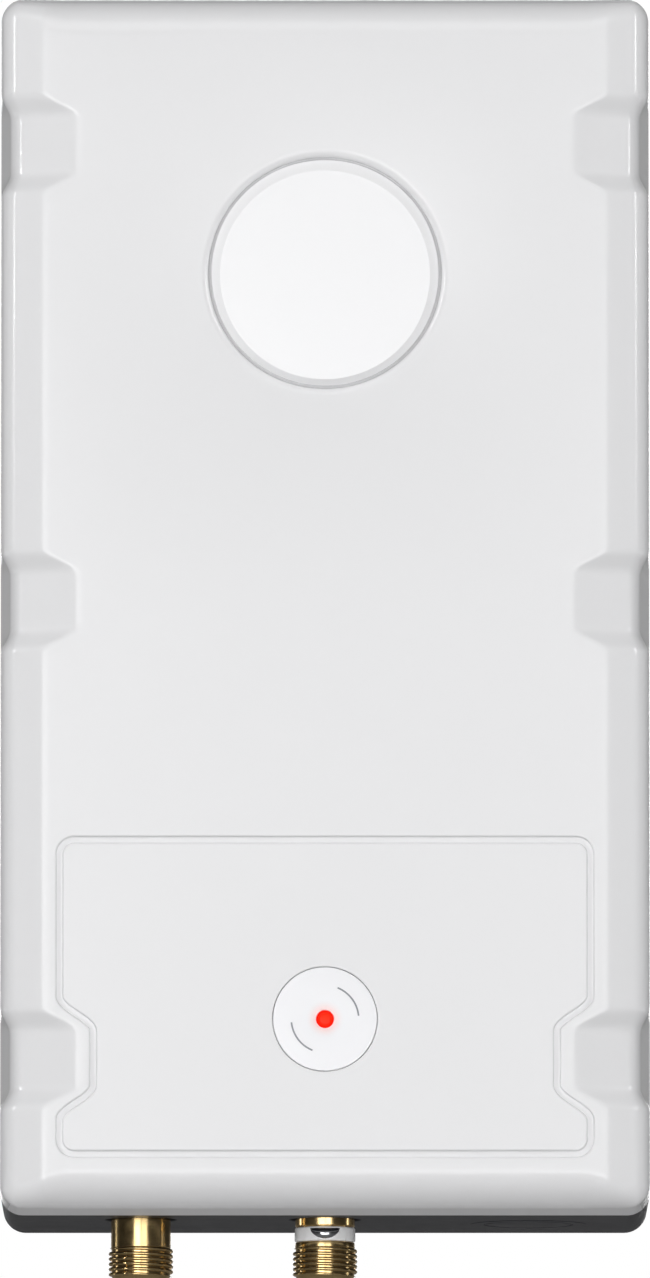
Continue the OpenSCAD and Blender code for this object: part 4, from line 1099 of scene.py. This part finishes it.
def tube_tree():
    """A round tube along a chain of points."""
    tree, g, given = new_tree("Lead", [
        ("Radius", "Float"), ("Sides", "Int"), ("Steps", "Int"), ("Material", "Material"),
    ])
    line = g.node("GeometryNodeMeshToCurve", None, {"Mesh": given["Geometry"]})
    line = g.node("GeometryNodeCurveSplineType", {"spline_type": "CATMULL_ROM"}, {"Curve": line})
    line = g.node("GeometryNodeSetSplineResolution", None, {"Geometry": line, "Resolution": given["Steps"]})
    ring = {"Resolution": given["Sides"], "Radius": given["Radius"]}
    ring = g.node("GeometryNodeCurvePrimitiveCircle", None, ring)
    tube = {"Curve": line, "Profile Curve": ring, "Fill Caps": True}
    end_tree(g, g.node("GeometryNodeCurveToMesh", None, tube), given["Material"])
    return tree


def thread_tree():
    """Adds a rounded helical ridge, run out at both ends, to a turned stub."""
    tree, g, given = new_tree("Thread", [
        ("Radius", "Float"), ("Pitch", "Float"), ("Turns", "Float"), ("Ridge", "Float"),
        ("Place", "Vector"), ("Material", "Material"),
    ])
    spiral = g.node("GeometryNodeCurveSpiral", None, {
        "Resolution": 64,
        "Rotations": given["Turns"],
        "Start Radius": given["Radius"],
        "End Radius": given["Radius"],
        "Height": given["Turns"] * given["Pitch"],
    })
    along = g.node("GeometryNodeSplineParameter")
    run_out = (along.least(1.0 - along) * given["Turns"] * 3.0).least(1.0).most(0.15)
    ring = g.node("GeometryNodeCurvePrimitiveCircle", None, {"Resolution": 12, "Radius": given["Ridge"]})
    ridge = {"Curve": spiral, "Profile Curve": ring, "Scale": run_out, "Fill Caps": True}
    ridge = g.node("GeometryNodeCurveToMesh", None, ridge)
    ridge = g.node("GeometryNodeTransform", None, {"Geometry": ridge, "Translation": given["Place"]})
    shape = g.node("GeometryNodeJoinGeometry", None, {"Geometry": [given["Geometry"], ridge]})
    end_tree(g, shape, given["Material"])
    return tree


def screw_tree():
    """One screw on each point, its head along the point's direction."""
    tree, g, given = new_tree("Screws", [("Screw", "Object"), ("Spin", "Float"), ("Material", "Material")])
    head = g.node("GeometryNodeInputNamedAttribute", {"data_type": "FLOAT_VECTOR"}, {"Name": "head"})
    stand = g.node("FunctionNodeAlignRotationToVector", {"axis": "Z"}, {"Vector": head})
    spin = g.node("GeometryNodeInputIndex") * given["Spin"]
    twist = g.node("FunctionNodeAxisAngleToRotation", None, {"Axis": UP, "Angle": spin})
    both = {"Rotation": stand, "Rotate By": twist}
    stand = g.node("FunctionNodeRotateRotation", {"rotation_space": "LOCAL"}, both)
    screw = g.node("GeometryNodeObjectInfo", None, {"Object": given["Screw"]}, "Geometry")
    screws = {"Points": given["Geometry"], "Instance": screw, "Rotation": stand}
    end_tree(g, g.node("GeometryNodeInstanceOnPoints", None, screws), given["Material"])
    return tree


# Screws, with the way that their heads point. The cover's two point outwards
SCREWS = {
    "head_screws": UP,
    "vessel_screws": FORWARD,
    "retainer_screws": (0, 0, -1),
    "board_screws": FORWARD,
    "cutout_screws": FORWARD,
    "terminal_screws": FORWARD,
    "ground_screw": FORWARD,
    "clamp_screws": FORWARD,
    "switch_screw": (1, 0, 0),
}
# Head radius, head height and shank radius
PAN_SCREW, SUNK_SCREW = (3.0, 2.0, 1.58), (3.55, 1.8, 1.75)


def screw_line(head_r, head_h, shank_r, length, sunk):
    """Half section of a screw, in millimetres, its head's top at 0."""
    pitch, deep, half = 0.62, 0.24, 0.22
    if sunk:
        line = [(0, -0.05), (head_r - 0.5, -0.02), (head_r, -0.25), (head_r, -0.35), (shank_r, -head_h)]
    else:
        line = [(0, 0), (head_r * 0.45, -0.06), (head_r * 0.8, -0.35), (head_r * 0.97, -0.95)]
        line += [(head_r, -head_h + 0.1), (head_r - 0.1, -head_h), (shank_r, -head_h)]
    h = -head_h - 0.5
    while h > -length + 1.3:
        line += [(shank_r - deep, h), (shank_r, h - half), (shank_r - deep, h - 2 * half)]
        h -= pitch
    return line + [(shank_r - 0.3, -length + 0.5), (shank_r * 0.55, -length), (0, -length)]


def make_screw(slot, sizes, length, sunk):
    """One screw along Z with a cross recess in its head, as an object to instance."""
    head_r, head_h, _ = sizes
    bm = bmesh.new()
    lathe(bm, screw_line(*sizes, length, sunk), (0, 0, 0), UP, 40)
    bmesh.ops.remove_doubles(bm, verts=bm.verts, dist=1e-7)
    piece = new_piece("screw", close_mesh(bm, "screw"), slot)
    blade = ((0.62, 0.17, 0.6), (0.62, 0.17, -0.02), (0.24, 0.11, -0.72))
    points = [
        (a * wide * head_r, b * thick * head_r, h * head_h)
        for wide, thick, h in blade for a in (-1, 1) for b in (-1, 1)
    ]
    boolean(piece, [hull_cutter(points, turn) for turn in (0.0, math.pi / 2)])
    soften(piece.data, 32)
    return piece


# Leads and coils, in millimetres: radius and route
LEADS = {
    "wire_line": (1.6, [
        (31, -13, -33.7), (32, -15, -24), (36, -21, -10), (37, -32, 15), (33, -48, 35), (22, -58, 44),
        (0, -59.5, 45.5), (-13, -59, 45), (-22.6, -58.4, 45),
    ]),
    "wire_load": (1.6, [
        (-53.2, -58.4, 45), (-56.7, -58.4, 46.2), (-58.2, -59, 58), (-55, -60, 80), (-54.5, -55, 97),
        (-53.5, -48, 104), (-47.2, -46, 105.6),
    ]),
    "wire_neutral": (1.6, [
        (42, -13, -33.7), (41.5, -16, -26), (34, -27, -24), (25, -36, -22), (19.9, -38, -16.8),
    ]),
    "wire_switch": (1.6, [
        (19.9, -41.4, -16.8), (21, -44, -24), (26, -46, -22), (28, -47, -8), (28, -48, 40), (27, -48, 85),
        (23, -47, 101), (15, -46.2, 105.6), (9.3, -46, 105.6),
    ]),
    "wire_ground": (1.6, [
        (53, -13, -33.7), (53, -15, -20), (50, -19, -2), (41, -25, 13), (32, -29, 16), (23.8, -30, 16),
    ]),
    "wire_sensor": (0.9, [
        (18.7, -38, -67.7), (20, -40, -61), (25, -48, -58), (26.55, -57, -57), (26.05, -63.5, -57),
        (16.85, -63.25, -57),
    ]),
}
COILS = {"heating_coil_inlet": 0.0, "heating_coil_outlet": -37.9}
COIL_WIRE_R = 0.7
# Steps between two points of a route, and sides of the tube
LEAD_STEPS, COIL_STEPS = (12, 16), (4, 10)


def coil_points(x):
    """Route of one heating coil: down in a helix, round a bend and straight back up."""
    end_z, coil_y, coil_r, first_z, drop = 87.85, -38.0, 8.0, 74.0, 124.0
    bend_y, bend_z, bend_r = -32.0, -52.0, 2.0
    turns, steps = 15.5, 20
    points = [(x, coil_y - coil_r, end_z)]
    for k in range(int(turns * steps) + 1):
        a = -math.pi / 2 + 2 * math.pi * k / steps
        z = first_z - drop * k / (turns * steps)
        points.append((x + coil_r * math.cos(a), coil_y + coil_r * math.sin(a), z))
    for a in np.radians(np.linspace(45, 180, 7)):
        points.append((x, bend_y + bend_r * math.cos(a), bend_z - bend_r * math.sin(a)))
    points.append((x, bend_y - bend_r, end_z))
    return points


def chain(name, points, slot):
    """A piece of bare edges along millimetre points, for a tube to follow."""
    mesh = bpy.data.meshes.new(name)
    edges = [(i, i + 1) for i in range(len(points) - 1)]
    mesh.from_pydata([tuple(c * MM for c in point) for point in points], edges, [])
    return new_piece(name, mesh, slot)


# Water stubs, with the height of their thread in millimetres
THREAD_H = 6.8


def stub_line(end, top, root, neck, waist=None):
    """Half section of a stub with the radii of its corners, in millimetres; a waist takes the collar."""
    bore, plug_r, ring_r, flange_r, tube_r = 3.6, 6.4, 4.95, 9.5, 4.83
    ring_top, ring_low, flange, seat = top - 5.5, top - 8.0, top - 14.0, top - 17.0
    thread, tube_end = end + THREAD_H, end + 11.3
    line = [(bore, top), (5.7, top), (plug_r, top - 0.7), (plug_r, ring_top), (ring_r, ring_top)]
    line += [(ring_r, ring_low), (plug_r, ring_low), (plug_r, flange), (flange_r, flange)]
    line += [(flange_r, seat), (neck, seat)]
    radii = [0, 0.3, 0.3, 0, 0.2, 0.2, 0, 0, 0.2, 0.2, 0]
    if waist:
        waist_r, low, high = waist
        line += [(neck, high), (waist_r, high), (waist_r, low), (neck, low)]
        radii += [0.25, 0, 0, 0.25]
    line += [(neck, thread - 0.2), (root, thread - 0.5), (root, end + 0.6), (root - 0.35, end)]
    line += [(5.4, end), (tube_r, end + 0.8), (tube_r, tube_end), (bore, tube_end)]
    radii += [0.1, 0.1, 0.15, 0.12, 0.1, 0.15, 0.1, 0]
    return fillet(line, radii, 4)


# Stage

# Lamps: place, the point aimed at, width and height, power
LAMPS = {
    "left_front": ((-0.55, -2.3, -0.28), (0, -0.05, 0), (1.0, 1.3), 14.7),
    "right_front": ((0.50, -2.3, -0.28), (0, -0.05, 0), (0.9, 1.3), 8.2),
    "upper_front": ((-0.15, -1.9, 1.55), (0, -0.05, 0), (2.4, 1.1), 11.6),
    "low_front": ((0, -1.4, -0.41), (0, -0.05, -0.13), (1.3, 0.32), 3.0),
    "back": ((0, 2.2, 0.35), (0, 0, 0), (0.5, 0.9), 9.0),
    "left_strip": ((-1.04, -0.66, 0.47), (-0.06, -0.07, 0.35), (0.05, 0.6), 4.1),
    "right_strip": ((1.04, -0.66, 0.47), (0.06, -0.07, 0.35), (0.05, 0.6), 3.7),
    "left_low": ((-0.60, 0.17, -0.16), (0, -0.04, -0.13), (0.06, 0.10), 0.10),
    "right_low": ((0.60, 0.05, -0.16), (0, -0.04, -0.13), (0.04, 0.10), 0.08),
}
SENSOR = 36.0
FLOOR_R, FLOOR_SIDES = 24.0, 64


def add_camera(scene, stage):
    """A far camera in front of the face that looks up a little."""
    data = bpy.data.cameras.new("camera")
    data.sensor_fit, data.sensor_width = "AUTO", SENSOR
    data.lens = SENSOR * stage.distance / stage.frame_h
    data.clip_start, data.clip_end = 0.05, 80.0
    camera = bpy.data.objects.new("camera", data)
    scene.collection.objects.link(camera)
    back = Vector((0, -math.cos(stage.rise), -math.sin(stage.rise)))
    camera.location = Vector((0, COVER_LOW.y, stage.centre_z)) + back * stage.distance
    camera.rotation_euler = (-back).to_track_quat("-Z", "Y").to_euler()
    scene.camera = camera


def add_lamp(scene, name, place, aim, size, power):
    light = bpy.data.lights.new(name, "AREA")
    light.shape = "RECTANGLE"
    light.size, light.size_y = size
    light.energy = power
    holder = bpy.data.objects.new(name, light)
    scene.collection.objects.link(holder)
    holder.location = place
    holder.visible_camera = False
    holder.rotation_euler = (Vector(aim) - Vector(place)).to_track_quat("-Z", "Y").to_euler()


def floor_disc(z):
    turns = np.linspace(0, 2 * math.pi, FLOOR_SIDES, endpoint=False)
    bm = bmesh.new()
    middle = bm.verts.new((0, 0, z))
    rim = [bm.verts.new((FLOOR_R * math.cos(a), FLOOR_R * math.sin(a), z)) for a in turns]
    for k in range(FLOOR_SIDES):
        bm.faces.new((middle, rim[k - 1], rim[k]))
    return close_mesh(bm, "floor")


def floor_finish():
    """Pale floor: near white to the camera, dim in mirrors but brighter far behind, pale to soft light."""
    material, g = new_finish("pale_floor")
    place = g.place()
    seen = ray(g, "Is Camera Ray").most(ray(g, "Is Transmission Ray"))
    shine = ray(g, "Is Glossy Ray")
    behind = g.axes(place)[1].ramp(0.2, 1.5)
    pale = g.blend(g.noise(place, 3.0), (0.68, 0.68, 0.68), (0.72, 0.72, 0.72))
    glow = seen.most(shine * behind * 0.10)
    close_finish(g, {
        "Base Color": g.blend(seen.most(shine), pale, (0.30, 0.30, 0.30)),
        "Roughness": 0.8 + g.noise(place, 40.0) * 0.1,
        "Emission Color": g.blend(glow, (0.0, 0.0, 0.0), (0.84, 0.84, 0.84)),
        "Emission Strength": 1.0,
    })
    return material


def studio_world():
    """White to the camera, dim in mirrors except straight behind, and a faint fill as light."""
    world = bpy.data.worlds.new("studio")
    world.use_nodes = True
    world.node_tree.nodes.clear()
    g = Graph(world.node_tree)
    seen = ray(g, "Is Camera Ray").most(ray(g, "Is Transmission Ray"))
    shine = ray(g, "Is Glossy Ray")
    _, ahead, _ = g.axes(g.node("ShaderNodeTexCoord", out="Generated"))
    behind = ahead.ramp(0.72, 0.92)
    fill = (1.0 - seen.most(shine)) * 0.10
    strength = seen.most(shine * behind * 0.25) + fill + shine * (1.0 - behind) * 0.03
    ground = g.node("ShaderNodeBackground", None, {"Color": (1, 1, 1, 1), "Strength": strength})
    g.node("ShaderNodeOutputWorld", None, {"Surface": ground})
    return world


# Operators


class HEATER_OT_cover(bpy.types.Operator):
    """Make the moulded cover with its bays, groove, badge recess and screw slots"""

    bl_idname = "heater.cover"
    bl_label = "Cover"

    def execute(self, context):
        scene = context.scene
        form = CoverForm(scene.heater_cover)
        piece = new_piece("front_cover_fine", make_cover(form, scene.heater_groove), "cover_white")
        boolean(piece, slot_cutters(form))
        soften(piece.data, 34)
        set_in(piece, "cover", "front_cover")
        return {"FINISHED"}


class HEATER_OT_badge(bpy.types.Operator):
    """Make the raised round badge"""

    bl_idname = "heater.badge"
    bl_label = "Badge"

    def execute(self, context):
        r, h = BADGE_HIGH.x / MM, (BADGE_HIGH.y - BADGE_LOW.y) / MM
        gap, slope, rim, drop = 0.3, 1.7, 2.05, 0.6
        line = [(0, 0), (r - gap, 0), (r - gap, h - slope), (r - rim, h), (0, h)]
        line = fillet(line, (0, 0.15, 0.3, 0.3, 0), 6)
        centre = (0, BADGE_HIGH.y, BADGE_Z)
        piece = turned_piece("badge_disc_fine", "badge_white", line, centre, FORWARD, 160)
        # The face sits a little low on the disc
        for vert in piece.data.vertices:
            rise = ((BADGE_HIGH.y - vert.co.y) / MM - h + slope) / slope
            vert.co.z -= drop * MM * min(max(rise, 0.0), 1.0)
        soften(piece.data, 35)
        set_in(piece, "cover", "badge_disc")
        return {"FINISHED"}


class HEATER_OT_indicator(bpy.types.Operator):
    """Make the indicator's white disc"""

    bl_idname = "heater.indicator"
    bl_label = "Indicator"

    def execute(self, context):
        hole, disc, rim, flange = 1.85, 10.64, 1.4, LENS_HIGH.x / MM
        front = (LENS_HIGH.y - LENS_LOW.y) / MM + 0.05
        line = [(hole, 0), (flange, 0), (flange, rim), (disc, rim), (disc, front), (hole, front)]
        line = fillet(line, (0, 0.2, 0.2, 0, 0.2, 0.08))
        centre = (0, LENS_HIGH.y, LENS_Z)
        piece = turned_piece("indicator_lens_fine", "lens_white", line, centre, FORWARD, 128)
        soften(piece.data, 35)
        set_in(piece, "cover", "indicator_lens")
        return {"FINISHED"}


class HEATER_OT_light_guide(bpy.types.Operator):
    """Make the red light guide in the indicator's middle"""

    bl_idname = "heater.light_guide"
    bl_label = "Light guide"

    def execute(self, context):
        h, collar = (PIPE_HIGH.y - PIPE_LOW.y) / MM, PIPE_HIGH.x / MM
        seat, thick, lip = (PIPE_HIGH.y - LENS_HIGH.y) / MM, 1.0, 1.0
        r = collar - lip
        line = [(0, 0), (r, 0), (r, seat - thick), (collar, seat - thick), (collar, seat), (r, seat)]
        line += [(r, h - 0.35), (r * 0.6, h - 0.06), (0, h)]
        line = fillet(line, (0, 0.2, 0, 0.15, 0.15, 0, 0.3, 0.6, 0))
        centre = (0, PIPE_HIGH.y, LENS_Z)
        piece = turned_piece("light_pipe_fine", "red_light", line, centre, FORWARD, 64)
        soften(piece.data, 35)
        set_in(piece, "cover", "light_pipe")
        return {"FINISHED"}


class HEATER_OT_stubs(bpy.types.Operator):
    """Make the two threaded brass water stubs"""

    bl_idname = "heater.stubs"
    bl_label = "Water stubs"

    def execute(self, context):
        sizes = context.scene.heater_brass
        tree = thread_tree()
        for node, waist in (("inlet_stub", (5.2, -129.7, -126.5)), ("outlet_stub", None)):
            low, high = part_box(node)
            x, y, end = (low.x + high.x) / 2, (low.y + high.y) / 2, low.z / MM
            line = stub_line(end, high.z / MM, sizes.root / MM, sizes.neck / MM, waist)
            piece = turned_piece(node + "_fine", "brass", line, (x, y, 0), UP)
            first, last = end + 0.55, end + THREAD_H - 0.35
            run_tree(
                piece, tree, Radius=sizes.root + sizes.ridge * 0.5, Pitch=sizes.pitch, Ridge=sizes.ridge,
                Turns=(last - first) * MM / sizes.pitch, Place=(x, y, first * MM), Material=finish("brass"),
            )
            soften(piece.data, 40)
            set_in(piece, "base", node)
        return {"FINISHED"}


class HEATER_OT_collar(bpy.types.Operator):
    """Make the inlet's white collar"""

    bl_idname = "heater.collar"
    bl_label = "Collar"

    def execute(self, context):
        inside, outside = 5.25, context.scene.heater_brass.neck / MM + 0.1
        low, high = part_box("inlet_collar")
        centre = ((low.x + high.x) / 2, (low.y + high.y) / 2, 0)
        low, high = low.z / MM, high.z / MM
        line = [(inside, low), (outside, low), (outside, high), (inside, high)]
        line = fillet(line, (0, 0.45, 0.45, 0), 6)
        piece = turned_piece("inlet_collar_fine", "nylon", line, centre, UP)
        soften(piece.data, 35)
        set_in(piece, "base", "inlet_collar")
        return {"FINISHED"}


class HEATER_OT_clip(bpy.types.Operator):
    """Make the polished clip on the front of the inlet's collar"""

    bl_idname = "heater.clip"
    bl_label = "Clip"

    def execute(self, context):
        neck = context.scene.heater_brass.neck / MM
        low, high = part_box("inlet_collar")
        x, y = (low.x + high.x) / 2, (low.y + high.y) / 2
        low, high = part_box("inlet_clip")
        half, top, tall = (high.x - low.x) / 2 / MM, high.z / MM, (high.z - low.z) / MM
        gap, bulge, inset = 0.12, 0.42, -0.5
        bm = bmesh.new()
        rims = []
        for outer in (True, False):
            rows = []
            for u in np.linspace(-0.999, 0.999, 33):
                drop = tall * (1.0 - u * u) ** 0.6
                row = []
                for v in np.linspace(0.0, 1.0, 17):
                    swell = bulge * (1.0 - u * u) * math.sin(math.pi * v) ** 0.7 if outer else inset
                    reach = math.sqrt(max(neck * neck - (u * half) ** 2, 0.0)) + gap + swell
                    row.append(bm.verts.new((x + u * half * MM, y - reach * MM, (top - drop * v) * MM)))
                rows.append(row)
            for first, last in zip(rows, rows[1:]):
                for k in range(len(first) - 1):
                    bm.faces.new((first[k], first[k + 1], last[k + 1], last[k]))
            rim = [row[0] for row in rows] + rows[-1][1:]
            rims.append(rim + [row[-1] for row in rows[-2::-1]] + rows[0][-2:0:-1])
        front, back = rims
        for k in range(len(front)):
            bm.faces.new((front[k - 1], front[k], back[k], back[k - 1]))
        piece = new_piece("inlet_clip_fine", close_mesh(bm, "inlet_clip_fine"), "polished_steel")
        soften(piece.data, 50)
        set_in(piece, "base", "inlet_clip")
        return {"FINISHED"}


class HEATER_OT_grommet(bpy.types.Operator):
    """Make the blind grommet that closes the cable hole"""

    bl_idname = "heater.grommet"
    bl_label = "Grommet"

    def execute(self, context):
        hole_x, hole_y = 0.042, -0.026
        centre = (hole_x, hole_y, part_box("base_tray")[0].z)
        line = [(0, -0.1), (8.6, -0.1), (8.8, 0.15), (9.2, 0.15), (9.4, -0.1), (11.9, -0.1)]
        line += [(12.0, -0.02), (11.05, -0.02), (11.05, 2.4), (9.2, 2.6), (0, 2.6)]
        line = fillet(line, (0, 0.1, 0.1, 0.1, 0.1, 0.05, 0, 0, 0.3, 0.3, 0), 4)
        piece = turned_piece("cable_grommet", "charcoal", line, centre, UP)
        soften(piece.data, 35)
        set_in(piece, "base")
        return {"FINISHED"}


class HEATER_OT_screws(bpy.types.Operator):
    """Put a cross-head screw on each screw place of the frame"""

    bl_idname = "heater.screws"
    bl_label = "Screws"

    def execute(self, context):
        tree = screw_tree()
        for node in [*SCREWS, "cover_screws"]:
            slot = SLOT_OF[node]
            sunk = node == "cover_screws"
            places, heads = [], []
            for low, high in islands(node):
                way = Vector(SCREWS.get(node, (1 if low[0] > 0 else -1, 0, 0)))
                axis = max(range(3), key=lambda i: abs(way[i]))
                place = Vector((low + high) / 2)
                place[axis] = high[axis] if way[axis] > 0 else low[axis]
                reach = high[axis] - low[axis]
                places.append(tuple(place * MM))
                heads.extend(way)
            mesh = bpy.data.meshes.new(node + "_fine")
            mesh.from_pydata(places, [], [])
            mesh.attributes.new("head", "FLOAT_VECTOR", "POINT").data.foreach_set("vector", heads)
            piece = new_piece(node + "_fine", mesh, slot)
            screw = make_screw(slot, SUNK_SCREW if sunk else PAN_SCREW, reach, sunk)
            run_tree(piece, tree, Screw=screw, Spin=0.7, Material=finish(slot))
            discard(screw)
            soften(piece.data, 32)
            set_in(piece, "base", node)
        return {"FINISHED"}


class HEATER_OT_leads(bpy.types.Operator):
    """Make the internal leads and the two heating coils as round tubes on their routes"""

    bl_idname = "heater.leads"
    bl_label = "Leads and coils"

    def execute(self, context):
        tree = tube_tree()
        routes = {node: (r, points, *LEAD_STEPS) for node, (r, points) in LEADS.items()}
        for node, x in COILS.items():
            routes[node] = (COIL_WIRE_R, coil_points(x), *COIL_STEPS)
        for node, (r, points, steps, sides) in routes.items():
            slot = SLOT_OF[node]
            piece = chain(node + "_fine", points, slot)
            run_tree(piece, tree, Radius=r * MM, Sides=sides, Steps=steps, Material=finish(slot))
            soften(piece.data, 40)
            set_in(piece, "base", node)
        return {"FINISHED"}


class HEATER_OT_edges(bpy.types.Operator):
    """Replace each remaining frame node by a copy with rounded edges"""

    bl_idname = "heater.edges"
    bl_label = "Rounded edges"

    def execute(self, context):
        for node in [name for name, piece in NODES.items() if not piece.hide_render]:
            mesh = eased(node, EASE.get(node, USUAL_EASE))
            piece = new_piece(node + "_fine", mesh, SLOT_OF[node])
            soften(piece.data, 35)
            piece.modifiers.new("even normals", "WEIGHTED_NORMAL").keep_sharp = True
            set_in(plain(piece), BODY_OF.get(node, "base"), node)
        return {"FINISHED"}


class HEATER_OT_stage(bpy.types.Operator):
    """Set the camera, the lamps, the pale background and the floor"""

    bl_idname = "heater.stage"
    bl_label = "Stage"

    def execute(self, context):
        scene = context.scene
        stage = scene.heater_stage
        add_camera(scene, stage)
        for name, (place, aim, size, power) in LAMPS.items():
            add_lamp(scene, name, place, aim, size, power)
        floor = bpy.data.objects.new("floor", floor_disc(stage.floor_z))
        scene.collection.objects.link(floor)
        floor.data.materials.append(floor_finish())
        scene.world = studio_world()
        scene.view_settings.view_transform = "Standard"
        return {"FINISHED"}


class HEATER_PT_panel(bpy.types.Panel):
    """Lists the heater's pieces and their settings"""

    bl_idname = "HEATER_PT_panel"
    bl_label = "Water heater"
    bl_space_type = "VIEW_3D"
    bl_region_type = "UI"
    bl_category = "Heater"

    def draw(self, context):
        for operator in OPERATORS:
            self.layout.operator(operator.bl_idname)
        for key, group in SETTINGS.items():
            part = self.layout.box()
            for name in group.__annotations__:
                part.prop(getattr(context.scene, key), name)


SETTINGS = {
    "heater_cover": HeaterCover,
    "heater_groove": HeaterGroove,
    "heater_brass": HeaterBrass,
    "heater_colours": HeaterColours,
    "heater_stage": HeaterStage,
}
OPERATORS = [
    HEATER_OT_cover,
    HEATER_OT_badge,
    HEATER_OT_indicator,
    HEATER_OT_light_guide,
    HEATER_OT_stubs,
    HEATER_OT_collar,
    HEATER_OT_clip,
    HEATER_OT_grommet,
    HEATER_OT_screws,
    HEATER_OT_leads,
    HEATER_OT_edges,
    HEATER_OT_stage,
]


def register():
    for key, group in SETTINGS.items():
        bpy.utils.register_class(group)
        setattr(bpy.types.Scene, key, bpy.props.PointerProperty(type=group))
    for item in OPERATORS + [HEATER_PT_panel]:
        bpy.utils.register_class(item)


def unregister():
    for item in reversed(OPERATORS + [HEATER_PT_panel]):
        bpy.utils.unregister_class(item)
    for key, group in SETTINGS.items():
        delattr(bpy.types.Scene, key)
        bpy.utils.unregister_class(group)


def main():
    register()
    bpy.ops.heater.cover()
    bpy.ops.heater.badge()
    bpy.ops.heater.indicator()
    bpy.ops.heater.light_guide()
    bpy.ops.heater.stubs()
    bpy.ops.heater.collar()
    bpy.ops.heater.clip()
    bpy.ops.heater.grommet()
    bpy.ops.heater.screws()
    bpy.ops.heater.leads()
    bpy.ops.heater.edges()
    bpy.ops.heater.stage()


if __name__ == "__main__":
    main()
